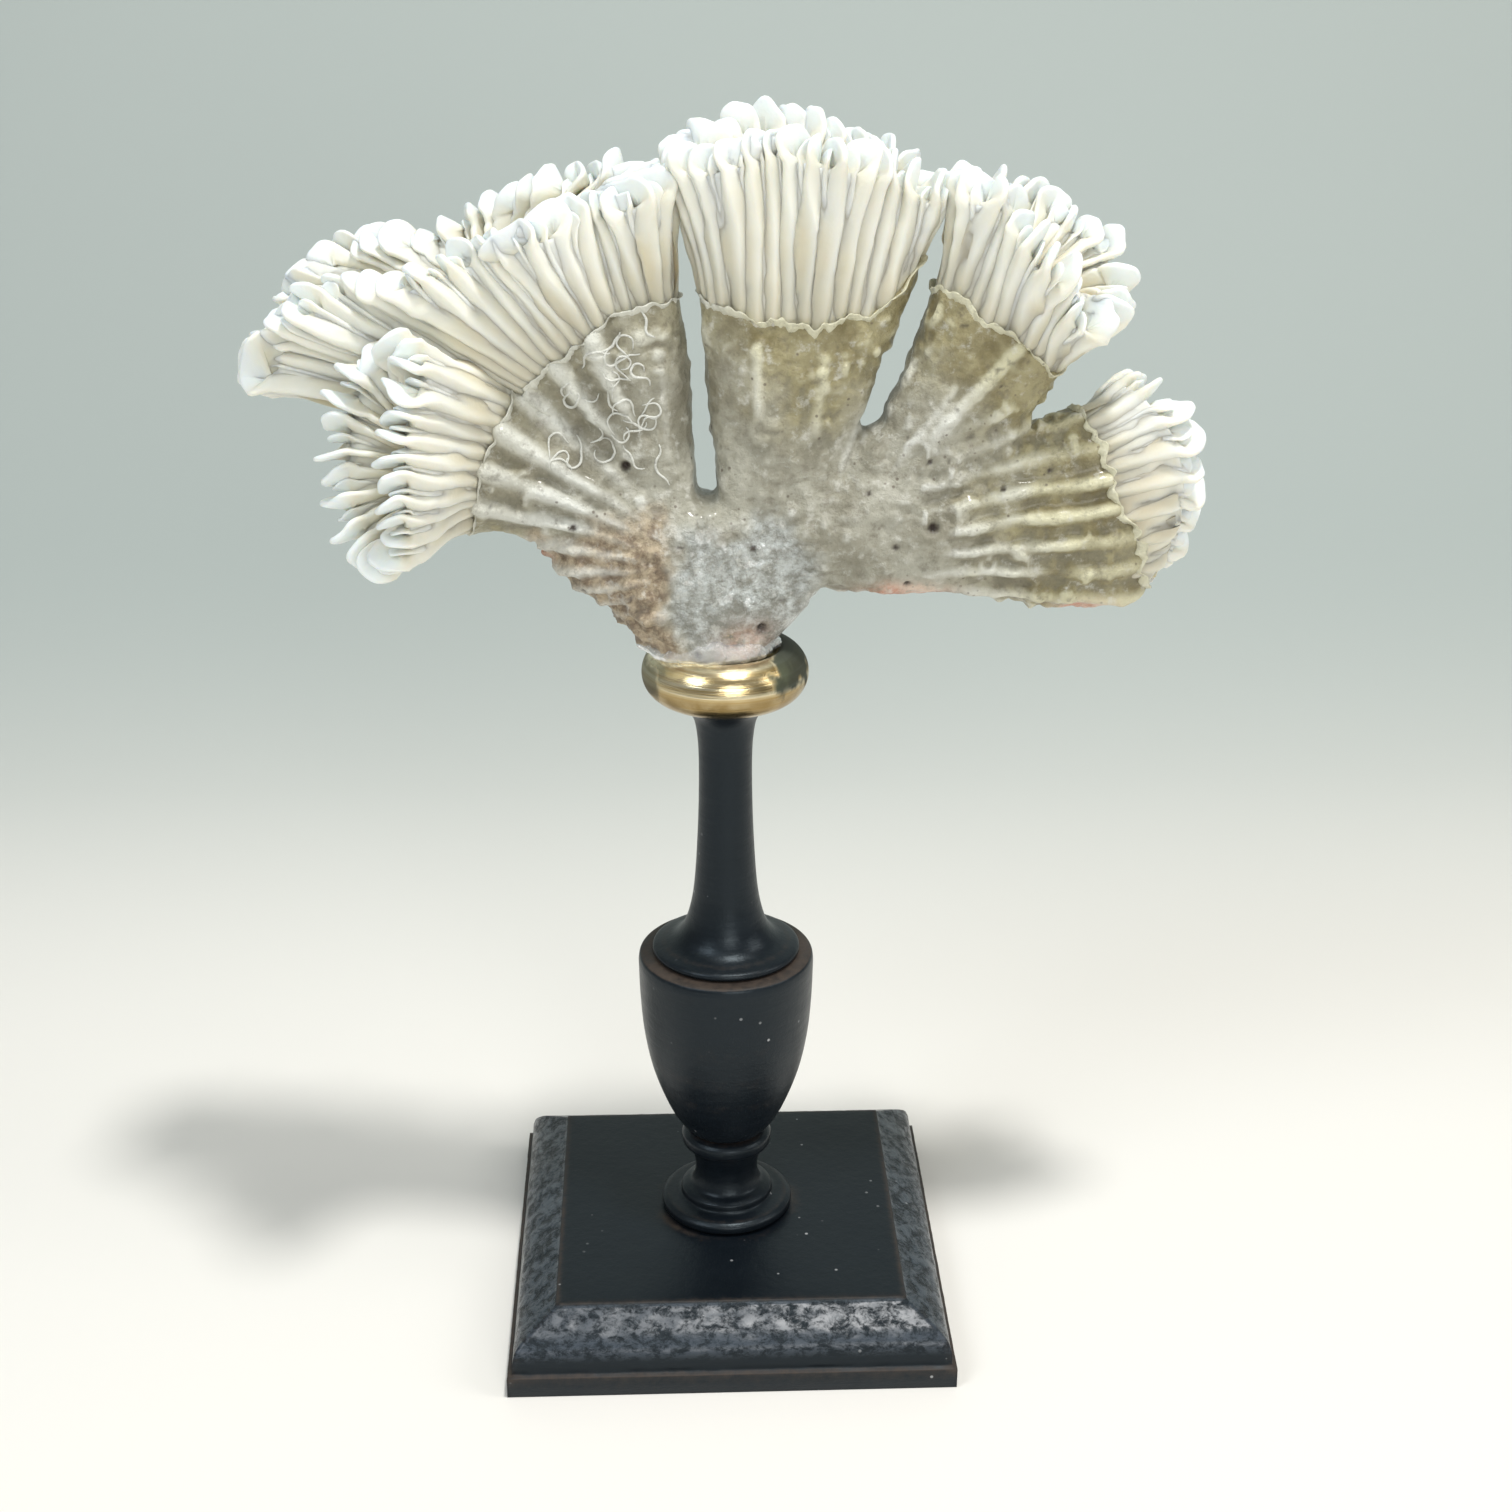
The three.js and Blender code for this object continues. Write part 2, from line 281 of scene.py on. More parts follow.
def makeLights():
    for name, (location, size, power, color) in studio["lamps"].items():
        light = bpy.data.lights.new(name, "AREA")
        light.shape = "DISK"
        light.size = size
        light.energy = power
        light.color = color
        lamp = bpy.data.objects.new(name, light)
        lamp.location = location
        lamp.rotation_mode = "QUATERNION"
        lamp.rotation_quaternion = (Vector(studio["lampAim"]) - Vector(location)).to_track_quat("-Z", "Y")
        bpy.context.scene.collection.objects.link(lamp)
    world = bpy.data.worlds.new("studio")
    world.use_nodes = True
    background = world.node_tree.nodes["Background"]
    background.inputs["Color"].default_value = studio["worldColor"]
    background.inputs["Strength"].default_value = studio["worldStrength"]
    bpy.context.scene.world = world
    bpy.context.scene.view_settings.view_transform = "Standard"


def makeFloor():
    # a pale sweep: flat floor that curves up into a wall behind the object
    radius = studio["sweepRadius"]
    wall = studio["wallDistance"]
    arcSteps = 24
    profile = [(-2.5, 0.0), (wall, 0.0)]
    for step in range(1, arcSteps + 1):
        angle = math.radians(90 * step / arcSteps)
        profile.append((wall + radius * math.sin(angle), radius * (1 - math.cos(angle))))
    profile.append((wall + radius, 3.0))
    points = [(x, y, z) for y, z in profile for x in (-3.0, 3.0)]
    faces = [(2 * i, 2 * i + 1, 2 * i + 3, 2 * i + 2) for i in range(len(profile) - 1)]
    floor = makeMesh("floor", points, faces)
    graph = Graph("floorPaper")
    behind = graph.add("ShaderNodeSeparateXYZ", None, {"Vector": graph.coordinates()}, out=1)
    color = graph.mix(behind.between(0.08, 0.5), studio["floorColor"], studio["wallColor"])
    floor.data.materials.append(graph.close(graph.surface({"Base Color": color, "Roughness": 0.9})))


def makeSeptaMaterial():
    graph = Graph("whiteSepta")
    crest = graph.attribute("crest")
    hollowShade = graph.attribute("hollowShade")
    mottled = graph.noise(90.0, 4.0)
    cream = graph.mix(mottled, (0.665, 0.61, 0.43), (0.75, 0.71, 0.55))
    ivory = graph.mix(mottled, (0.80, 0.785, 0.68), (0.86, 0.855, 0.78))
    low = 1 - crest.between(0.0, 0.5)
    # cream where the plates are hollow or low: painted warm shade
    body = graph.mix((hollowShade * 1.3 + low * 0.4 - 0.15).clamped() * 0.9, ivory, cream)
    blotches = graph.noise(45.0, 3.0)
    # brown blotches only where the plates are both low and hollow: partly stain, partly painted shade
    body = graph.mix((low * hollowShade * blotches.between(0.3, 0.6) * 0.9).clamped(), body, (0.50, 0.42, 0.33))
    # browner towards the plates' lower ends, at their feet by the crust and on the valley floor; on the
    # valley floor this is painted shade
    body = graph.mix((1 - crest.between(0.0, 0.3)) * 0.7, body, (0.45, 0.41, 0.30))
    # orange deep down in the valley: painted warm shade
    deepShade = hollowShade.between(0.72, 0.98) * (1 - crest * 1.5).clamped()
    body = graph.mix(deepShade * 0.8, body, (0.76, 0.60, 0.36))
    tips = crest.between(0.6, 0.95) * (1 - hollowShade * 0.7)
    body = graph.mix(tips * 0.9, body, (0.83, 0.895, 0.90))
    grains = graph.cells(1400.0)
    fine = graph.noise(700.0, 3.0)
    height = grains * 0.5 + fine * 0.5
    normal = graph.bump(height, 0.00012, 0.5)
    return graph.close(graph.surface({
        "Base Color": body, "Roughness": graph.noise(160.0, 2.0) * 0.22 + 0.36, "Normal": normal,
        "Subsurface Weight": 0.5, "Subsurface Radius": (0.0026, 0.0021, 0.0015), "Subsurface Scale": 1.0,
        "IOR": 1.5,
    }))


def makeWallMaterial():
    graph = Graph("deadWall")
    ridge, olive, tan, glaze, blush, pitShade, paleAndShade = (
        graph.attribute(name) for name in ("ridge", "olive", "tan", "glaze", "blush", "pitShade", "paleAndShade"))
    patches = graph.noise(75.0, 5.0, 0.65)
    fine = graph.noise(330.0, 5.0, 0.7)
    body = graph.mix(patches.between(0.34, 0.66), (0.275, 0.26, 0.195), (0.465, 0.455, 0.375))
    ochre = graph.mix(patches.between(0.35, 0.65), (0.20, 0.165, 0.07), (0.41, 0.365, 0.20))
    oliveShare = olive * 1.25 + (fine - 0.5) * 0.8 * olive + (patches - 0.5) * 0.6 * olive
    body = graph.mix(oliveShare.clamped(), body, ochre)
    # dark where this mask is low: painted shade in hollows and beside the slot
    body = graph.mix(paleAndShade.between(0.5, 0.08) * 0.65, body, (0.20, 0.19, 0.135))
    warmPale = graph.mix(olive, (0.82, 0.83, 0.77), (0.82, 0.79, 0.54))
    pale = graph.mix(fine, graph.mix(0.72, (0.3, 0.29, 0.24), warmPale), warmPale)
    body = graph.mix((ridge * 1.35 - 0.2 + (patches - 0.5) * 0.9).clamped() * 0.95, body, pale)
    # pale where this mask is high: painted highlight on bumps and ridges; the full pale of the worm tubes and
    # the crust edge is their own colour
    body = graph.mix(paleAndShade.between(0.55, 1.0) * 0.8, body, pale)
    fibre = graph.mix(fine.between(0.36, 0.62), (0.20, 0.14, 0.085), (0.52, 0.43, 0.30))
    body = graph.mix((tan + (fine - 0.5) * 0.6 * tan).clamped(), body, fibre)
    # the glazed foot: milky clouding, with pale bluish streaks that are painted highlights on the glue coat
    milkAndGlints = (patches * 0.4 + fine * 0.6).between(0.4, 0.62)
    glass = graph.mix(milkAndGlints, (0.20, 0.21, 0.185), (0.66, 0.71, 0.71))
    body = graph.mix(glaze * 0.8, body, glass)
    pinkish = graph.mix(patches.between(0.4, 0.65), (0.58, 0.25, 0.16), (0.78, 0.62, 0.50))
    body = graph.mix((blush * 1.5 * fine.between(0.25, 0.55)).clamped(), body, pinkish)
    body = graph.mix(graph.attribute("red") * 0.95, body, (0.30, 0.02, 0.03))
    body = graph.mix(graph.attribute("chalky") * 0.7, body, (0.72, 0.73, 0.67))
    crumbs = graph.noise(260.0, 7.0, 0.68)
    # dark in the crumb noise's low spots: painted shade; pale on its high spots, on the next line: painted
    # highlight; the same noise drives the bump
    body = graph.mix(crumbs.between(0.48, 0.30) * 0.5, body, (0.15, 0.13, 0.09))
    body = graph.mix(crumbs.between(0.53, 0.72) * 0.55, body, (0.80, 0.80, 0.74))
    specks = 1 - graph.cells(420.0).between(0.08, 0.2)
    body = graph.mix(specks * patches.between(0.5, 0.62) * 0.7, body, (0.10, 0.07, 0.045))
    # near black in the bored holes and small pits: painted shade
    body = graph.mix(pitShade.clamped(), body, (0.05, 0.035, 0.025))
    height = crumbs * 1.2 + graph.cells(520.0) * 0.25 + patches * 0.6
    height = height + glaze * patches.between(0.4, 0.6) * 0.6
    normal = graph.bump(height, 0.002, 0.8)
    wet = glaze * 0.5 + patches.between(0.45, 0.6) * 0.3
    return graph.close(graph.surface({
        "Base Color": body, "Roughness": (0.74 - wet).clamped(), "Normal": normal,
        "Coat Weight": (glaze * 0.8 + 0.3).clamped(), "Coat Roughness": 0.14, "IOR": 1.5,
    }))


def makePaintMaterial():
    graph = Graph("blackPaint")
    wearAndShade = graph.attribute("wearAndShade")
    streak = graph.noise(60.0, 5.0, 0.65, vector=graph.stretched(graph.coordinates(), (1.0, 1.0, 6.0)))
    fine = graph.noise(400.0, 4.0, 0.7)
    body = graph.mix(streak, (0.0018, 0.0034, 0.0055), (0.0055, 0.0085, 0.0125))
    worn = ((wearAndShade + (fine - 0.6) * 1.8).clamped() * wearAndShade).clamped()
    body = graph.mix(worn * 0.8, body, (0.07, 0.05, 0.037))
    brushedSheen = graph.attribute("brushedSheen")
    lengthened = graph.stretched(graph.coordinates(), (1.0, 1.0, 1.8))
    strokes = graph.noise(300.0, 6.0, 0.75, vector=lengthened, distortion=0.3)
    # bluish streaks on the moulding: painted sheen of cool light from above; the brush strokes in the bump
    # and the coat are real
    strokeSheen = brushedSheen * strokes.between(0.40, 0.60)
    body = graph.mix(strokeSheen * 0.5, body, (0.035, 0.055, 0.085))
    dust = (1 - graph.cells(210.0).between(0.05, 0.10)) * graph.noise(45.0).between(0.5, 0.62)
    body = graph.mix(dust * 0.8, body, (0.42, 0.43, 0.44))
    height = streak * 0.6 + fine * 0.35 + brushedSheen * strokes * 2.5
    normal = graph.bump(height, 0.0005, 0.5)
    return graph.close(graph.surface({
        "Base Color": body, "Roughness": streak * 0.22 + 0.26 + worn * 0.25, "Normal": normal,
        "Coat Weight": strokeSheen, "Coat Roughness": 0.34,
        "Specular IOR Level": 0.34, "Specular Tint": (0.78, 0.92, 1.0, 1.0), "IOR": 1.5,
    }))


def makeBrassMaterial():
    graph = Graph("polishedBrass")
    rings = graph.noise(160.0, 5.0, 0.65, vector=graph.stretched(graph.coordinates(), (0.12, 0.12, 6.0)))
    stain = graph.noise(70.0, 4.0, 0.6, distortion=0.4)
    body = graph.mix(rings.between(0.35, 0.65), (0.66, 0.50, 0.24), (0.94, 0.86, 0.62))
    # the lower half of the bun, marked by the collar's mask, is darkened: painted shade and painted
    # reflection of the black stand below
    under = graph.attribute("wearAndShade")
    body = graph.mix(under * (0.7 + stain.between(0.3, 0.6) * 0.3), body, (0.29, 0.20, 0.08))
    body = graph.mix(stain.between(0.6, 0.75) * 0.6, body, (0.22, 0.17, 0.07))
    tarnished = graph.attribute("tarnish")
    verdigris = graph.mix(stain.between(0.45, 0.65), (0.004, 0.016, 0.012), (0.04, 0.06, 0.035))
    body = graph.mix(tarnished * 0.95, body, verdigris)
    normal = graph.bump(rings * 0.8 + graph.noise(500.0) * 0.2, 0.0004, 0.4)
    return graph.close(graph.surface({
        "Base Color": body, "Metallic": 1 - tarnished * 0.8, "Normal": normal,
        "Roughness": (rings * 0.16 + 0.1 + stain * 0.08 + tarnished * 0.5).clamped(),
    }))


def makeGlueMaterial():
    graph = Graph("clearGlue")
    normal = graph.bump(graph.noise(220.0, 5.0, 0.65), 0.002, 0.8)
    return graph.close(graph.surface({
        "Base Color": (0.95, 0.955, 0.94, 1), "Roughness": graph.noise(260.0, 3.0) * 0.18 + 0.03,
        "Transmission Weight": 0.82, "IOR": 1.48, "Normal": normal,
    }))


def catmullWeights(share, count):
    # weights that a smooth curve through `count` points gives to each point, for shares from 0 to 1
    position = np.clip(np.asarray(share, float), 0, 1) * (count - 1)
    index = np.minimum(position.astype(int), count - 2)
    f = position - index
    basis = [-f + 2 * f**2 - f**3, 2 - 5 * f**2 + 3 * f**3, f + 4 * f**2 - 3 * f**3, f**3 - f**2]
    basis = np.stack(basis, -1) / 2
    weights = np.zeros(f.shape + (count + 2,))
    for k in range(4):
        np.put_along_axis(weights, (index + k)[..., None], basis[..., k:k + 1], axis=-1)
    inner = weights[..., 1:-1].copy()
    inner[..., 0] += 2 * weights[..., 0]
    inner[..., 1] -= weights[..., 0]
    inner[..., -1] += 2 * weights[..., -1]
    inner[..., -2] -= weights[..., -1]
    return inner


crustLevel = 0.66  # share of a branch's length that the dead crust covers, before it is made ragged


class Lobe:
    # A flattened cup. Its middle surface runs through growth rails, each with a point at the fork,
    # on the dead wall, at the crust's edge and at the rim. `angle` goes once round the cup: 0 is the
    # first rail's edge and the front (-Y) half comes first. `along` is 0 at the fork and 1 at the rim.
    def __init__(self, spec):
        self.spec = spec
        self.rails = np.array(spec["rails"], float)
        self.thickness = np.array(spec["halfThickness"], float)
        self.length = float(np.mean(np.linalg.norm(np.diff(self.rails, axis=1), axis=-1).sum(1)))

    def middle(self, across, along):
        a = catmullWeights(across, self.rails.shape[0])
        b = catmullWeights(along, self.rails.shape[1])
        return np.einsum("...k,...a,kac->...c", a, b, self.rails)

    def loop(self, angle, along, share=1.0):
        angle, along, share = np.broadcast_arrays(angle, along, share)
        step = 0.01
        across = 0.5 - 0.5 * np.cos(angle) * (0.4 + 0.6 * share)
        sideways = self.middle(across + step, along) - self.middle(across - step, along)
        growth = unitVectors(self.middle(across, along + step) - self.middle(across, along - step))
        front = unitVectors(np.cross(sideways, growth))
        sine = np.sin(angle)
        half = np.interp(along, np.linspace(0, 1, len(self.thickness)), self.thickness)
        offset = np.sign(sine) * np.abs(sine) ** 0.7 * half * share
        waves, depth = self.spec.get("meander", (0, 0))
        upper = smoothStep(0.6, 1.0, along)
        offset = offset + depth * np.sin((across * waves + self.spec["seed"] * 0.17) * 2 * math.pi) * upper
        low, high, drop = self.spec.get("tilt", (0, 1, 0))
        window = smoothStep(low - 0.15, low + 0.1, across) * smoothStep(high + 0.15, high - 0.1, across)
        dropped = -drop * smoothStep(-0.4, 1.0, sine) * (0.35 + 0.65 * share) * upper * window
        return self.middle(across, along) + front * offset[..., None] + growth * dropped[..., None], growth

    def shell(self, angle, along, share, out):
        # a point on the cup, moved outward, with its outward and growth directions
        point, growth = self.loop(angle, along, share)
        step = 0.02
        tangent = self.loop(angle + step, along, share)[0] - self.loop(angle - step, along, share)[0]
        outward = unitVectors(np.cross(tangent, growth))
        point = point + outward * np.asarray(out, float)[..., None]
        return point, outward, growth

    def evenAngles(self, count, along=1.0):
        fine = np.linspace(0, math.pi, 400)
        points = self.loop(fine, along)[0]
        lengths = np.concatenate([[0], np.cumsum(np.linalg.norm(np.diff(points, axis=0), axis=1))])
        half = count // 2
        front = np.interp(np.linspace(0, lengths[-1], half + 1), lengths, fine)
        return np.concatenate([front, 2 * math.pi - front[1:half][::-1]])

    def rimLength(self, along=1.0):
        points = self.loop(np.linspace(0, 2 * math.pi, 400), along)[0]
        return float(np.linalg.norm(np.diff(points, axis=0), axis=1).sum())

    def edgeLevel(self, angle):
        # where the crust ends: about two thirds of the way up, ragged, and higher or lower at some places
        spot = self.loop(angle, crustLevel)[0]
        seed = self.spec["seed"]
        ragged = 1.9 * softNoise(spot, 8.0, seed) + 0.9 * softNoise(spot, 2.6, seed + 5)
        level = 2 / 3 + (ragged + 0.7 * softNoise(spot, 1.3, seed + 6)) / self.length
        for centre, width, height in self.spec.get("crustClimbs", ()):
            gap = np.abs((angle - centre + math.pi) % (2 * math.pi) - math.pi)
            level = level + height * np.exp(-((gap / width) ** 2))
        return level


branches = {
    "centre": {
        "rails": [
            [(0, 0, 36), (-2.5, 0, 61), (-4.5, 0, 87), (-10, 1, 112)],
            [(7, 0, 35), (6, 0, 58), (8, 0, 79), (7, 2, 117)],
            [(14, 0, 35), (16, 0, 56), (21, 0, 77), (25, 2, 115)],
            [(22, 0, 37), (29, 0, 62), (38.5, 0, 87), (45, 1, 106)],
        ],
        "halfThickness": (8.5, 8, 9.5, 12), "valleyDepth": 15, "spacing": 4.9, "seed": 11,
        "meander": (2.2, 2.6), "tilt": (0.0, 1.0, 2.0),
        "crustClimbs": ((math.pi, 0.45, 0.13), (1.6, 0.7, 0.06), (4.7, 0.7, 0.05)),
    },
    "left": {
        "rails": [
            [(-12, 0, 38), (-29, 0, 54), (-46, -1, 66), (-64, -13, 77)],
            [(-13, 0, 35), (-34, 0, 48), (-54, 0, 56), (-72, -14, 63)],
            [(-15, 0, 32), (-37, 0, 41), (-57, 0, 44), (-74, -14, 47)],
            [(-18, 0, 29), (-38, 0, 34), (-56, -2, 36), (-71, -13, 33)],
        ],
        "halfThickness": (8.5, 8, 9, 11.5), "valleyDepth": 13, "spacing": 5.2, "seed": 23,
        "meander": (1.5, 1.0), "crustClimbs": ((1.6, 1.2, -0.03),),
    },
    "leftRear": {
        "rails": [
            [(-12, 2, 37), (-36, 6, 52), (-62, 12, 59), (-98, 16, 65)],
            [(-11, 1, 38), (-32, 5, 58), (-54, 9, 69), (-89, 14, 86)],
            [(-9, 1, 38), (-26, 3, 63), (-42, 5, 76), (-64, 9, 94)],
            [(-7, 0, 38), (-18, 1, 68), (-25, 1, 84), (-34, 3, 106)],
            [(-6, 0, 36), (-8, 0, 65), (-10.5, 0, 87), (-12, 1, 108)],
        ],
        "halfThickness": (8, 8, 9.5, 11.5), "valleyDepth": 15, "spacing": 5.6, "seed": 37,
        "meander": (4.2, 3.6), "tilt": (0.15, 0.9, 6.0),
        "crustClimbs": ((0.9, 0.65, -0.17), (1.75, 0.5, -0.04)),
    },
    "rightCentre": {
        "rails": [
            [(30, 0, 44), (38.5, 0, 67), (45.5, 0, 88), (50, 1, 106)],
            [(36, 0, 43), (46, 0, 63), (53, -1, 85), (61, -1, 105)],
            [(46, 0, 42), (57, 0, 59), (64, -1, 78), (74, -4, 96)],
            [(56, 0, 43), (64, 0, 57), (72, -1, 71), (81, -7, 82)],
        ],
        "halfThickness": (8.5, 8, 9.5, 11.5), "valleyDepth": 14, "spacing": 5.1, "seed": 41,
        "meander": (2.3, 2.2), "tilt": (0.4, 1.0, 6.0),
    },
    "right": {
        "rails": [
            [(20, 0, 45), (56, 0, 54), (77, 1, 60), (87, 5, 64)],
            [(20, 0, 38), (57, 0, 44), (82, 1, 48), (94, 6, 52)],
            [(20, 0, 31), (57, 0, 32), (85, 1, 33), (94, 8, 37)],
            [(20, 0, 25), (54, 0, 20), (84, 1, 17), (89, 8, 22)],
        ],
        "halfThickness": (9, 9, 9.5, 11), "valleyDepth": 12, "spacing": 6.6, "seed": 59,
        "meander": (1.2, 1.0), "crustClimbs": ((math.pi, 0.9, 0.17),), "swingBias": 0.9,
    },
}

footSpec = {
    "rails": [
        [(-13.5, 0, 6.5), (-24, 0, 15.5), (-35, 0, 24.5), (-42, 0, 32)],
        [(-8, 0, 5.5), (-16, 0, 19), (-21, 0, 28), (-24, 0, 38)],
        [(0, 0, 5.5), (-1, 0, 19), (-1, 0, 31), (-1, 0, 41)],
        [(8, 0, 6.5), (16, 0, 15), (21, 0, 22), (23, 0, 40)],
    ],
    "halfThickness": (10.5, 11, 10.5, 9.5), "seed": 71,
}

# flesh between two branches, below the slot
webSpec = {
    "rails": [
        [(18, 0, 24), (22, 0, 36), (26, 0, 47), (29, 0, 56)],
        [(30, 0, 20.5), (31, 0, 36), (32, 0, 47), (32.5, 0, 58)],
        [(44, 0, 19.5), (42, 0, 36), (39, 0, 47), (36, 0, 57)],
    ],
    "halfThickness": (9, 9, 8.5, 6.5), "seed": 73,
}

nodeNames = {
    "foot": "coral_foot", "centre": "coral_branch_centre", "left": "coral_branch_left",
    "leftRear": "coral_branch_left_rear", "rightCentre": "coral_branch_right_centre",
    "right": "coral_branch_right",
}

wallStep = 0.9  # grid step of the dead wall before it is fused
crustOut = 0.9  # how far the crust stands proud of the white cup
voxel = 0.6  # grain of the fused wall
rootLength = 8.0  # how far each branch reaches down into the foot
capDepth = 2.5  # how deep under the surface a cut is closed


def wallGrid(lobe):
    # one closed solid from the fork up to the crust's edge (or to the end, for the foot and the web)
    isBranch = "valleyDepth" in lobe.spec
    columns = 2 * int(lobe.rimLength(crustLevel) / wallStep / 2)
    rows = int(lobe.length * (0.68 if isBranch else 1.0) / wallStep)
    angles = lobe.evenAngles(columns, crustLevel)
    top = lobe.edgeLevel(angles) if isBranch else np.ones(columns)
    share = np.linspace(0, 1, rows)[:, None]
    out = np.full((rows, columns), crustOut if isBranch else 0.2)
    outer = lobe.shell(angles, share * top[None, :], 1.0, out)[0]
    edge = np.broadcast_to(share if isBranch else share * 0, (rows, columns))
    layers = [outer]
    if isBranch:
        start, _, growth = lobe.shell(angles, np.zeros(columns), 0.92, np.zeros(columns))
        lid = lobe.shell(angles, top, 1.0, np.full(columns, -2.0))[0]
        layers = [(start - growth * rootLength)[None], outer, lid[None]]
    points = np.concatenate([layer.reshape(-1, 3) for layer in layers])
    rowCount = len(points) // columns
    faces = list(gridFaces(rowCount, columns))
    faces += ladderFaces(0, columns, True) + ladderFaces((rowCount - 1) * columns, columns, False)
    return points, faces, outer.reshape(-1, 3), edge.reshape(-1)


def gatherWalls(solids):
    points, faces, known = [], [], []
    start = 0
    for owner, lobe in solids:
        p, f, outer, edge = wallGrid(lobe)
        points.append(p)
        faces += [[i + start for i in face] for face in f]
        start += len(p)
        known.append((outer, edge, np.full(len(outer), owner)))
    return np.concatenate(points), faces, [np.concatenate(part) for part in zip(*known)]


def applyModifiers(piece):
    depsgraph = bpy.context.evaluated_depsgraph_get()
    mesh = bpy.data.meshes.new_from_object(piece.evaluated_get(depsgraph))
    piece.modifiers.clear()
    old = piece.data
    piece.data = mesh
    bpy.data.meshes.remove(old)


def readPoints(mesh, key="co"):
    flat = np.empty(len(mesh.vertices) * 3, np.float32)
    mesh.vertices.foreach_get(key, flat)
    return flat.reshape(-1, 3).astype(float)


def movePoints(mesh, spots):
    mesh.vertices.foreach_set("co", spots.astype(np.float32).ravel())
    mesh.update()


def pointTree(spots):
    tree = kdtree.KDTree(len(spots))
    for i, spot in enumerate(spots):
        tree.insert(spot, i)
    tree.balance()
    return tree


def edgesOf(mesh):
    flat = np.empty(len(mesh.edges) * 2, np.int32)
    mesh.edges.foreach_get("vertices", flat)
    return flat.reshape(-1, 2)


def smoothed(values, edges, rounds, weight=None):
    # averages every value with its neighbours, where weight is 1
    count = np.bincount(edges.ravel(), minlength=len(values)).astype(float)[:, None]
    share = 1.0 if weight is None else weight[:, None]
    current = values if values.ndim > 1 else values[:, None]
    ends = np.concatenate([edges[:, 0], edges[:, 1]])
    others = np.concatenate([edges[:, 1], edges[:, 0]])
    for _ in range(rounds):
        total = np.stack([np.bincount(ends, column[others], len(values)) for column in current.T], -1)
        current = current + (total / count - current) * share
    return current if values.ndim > 1 else current[:, 0]


# holes bored in the dead wall: place on the front face, width, depth
boreHoles = (
    ((-21.5, 51), 1.1, 1.6), ((45, 37.5), 1.2, 1.6), ((37, 33), 0.7, 1.0), ((40, 24), 0.8, 1.2),
    ((8, 14.5), 1.1, 1.6), ((-6.5, 9), 0.9, 1.2), ((60, 46), 0.6, 0.8), ((31, 45), 0.6, 0.8),
    ((-33, 38), 0.8, 1.0), ((70, 50), 0.6, 0.8), ((44, 52), 0.6, 0.8), ((6, 33), 0.7, 0.8),
)


def fuseWalls(solids):
    points, faces, (sources, edge, owner) = gatherWalls(solids)
    body = makeMesh("deadWalls", points, faces)
    remesh = body.modifiers.new("fuse", "REMESH")
    remesh.mode = "VOXEL"
    remesh.voxel_size = voxel
    applyModifiers(body)
    mesh = body.data
    tree = pointTree(sources)
    spots = readPoints(mesh)
    nearest = np.array([tree.find(p)[1] for p in spots])
    edges = edgesOf(mesh)
    owners = owner[nearest]
    seam = np.zeros(len(spots))
    crossing = owners[edges[:, 0]] != owners[edges[:, 1]]
    seam[edges[crossing].ravel()] = 1.0
    lower = 1 - smoothStep(0.45, 0.75, edge[nearest])
    blend = np.clip(smoothed(seam, edges, 60) * 14, 0, 1) * lower
    spots = smoothed(spots, edges, 2)
    spots = smoothed(spots, edges, 110, blend * 0.95)
    movePoints(mesh, spots)
    return body, owners, smoothed(edge[nearest], edges, 6)


def blob(x, z, spot, size):
    # a soft patch on the coral's broad side, from 1 at its middle to 0
    return np.exp(-(((x - spot[0]) / size[0]) ** 2 + ((z - spot[1]) / size[1]) ** 2))


def stripe(x, z, start, end, width):
    # a soft raised line from start to end on the coral's broad side
    along = np.array(end, float) - start
    share = np.clip(((x - start[0]) * along[0] + (z - start[1]) * along[1]) / (along @ along), 0, 1)
    gap = np.hypot(x - start[0] - share * along[0], z - start[1] - share * along[1])
    return np.exp(-((gap / width) ** 2)) * smoothStep(0, 0.15, share) * smoothStep(1, 0.8, share)


# pale ribs of old growth: start, end, width, height
oldRibs = (
    ((6.5, 80), (7, 60), 1.2, 0.6), ((21, 77), (19, 56), 1.3, 0.55), ((64, 80), (43, 55), 1.6, 0.8),
    ((30, 66), (24, 46), 1.2, 0.4), ((50, 70), (34, 47), 1.0, 0.35), ((-14, 78), (-12, 50), 1.1, 0.3),
)


def fan(x, z, middle, spokes, spots, seed):
    # growth ridges that spread from a point, some stronger than others
    turn = np.arctan2(z - middle[1], x - middle[0])
    sway = 0.9 * softNoise(spots, 16.0, seed) + 0.35 * softNoise(spots, 6.0, seed + 1)
    wave = (0.5 + 0.5 * np.cos(turn * spokes + sway)) ** 1.7
    return wave * np.clip(0.75 + 0.6 * softNoise(spots, 9.0, seed + 2), 0.15, 1.2)


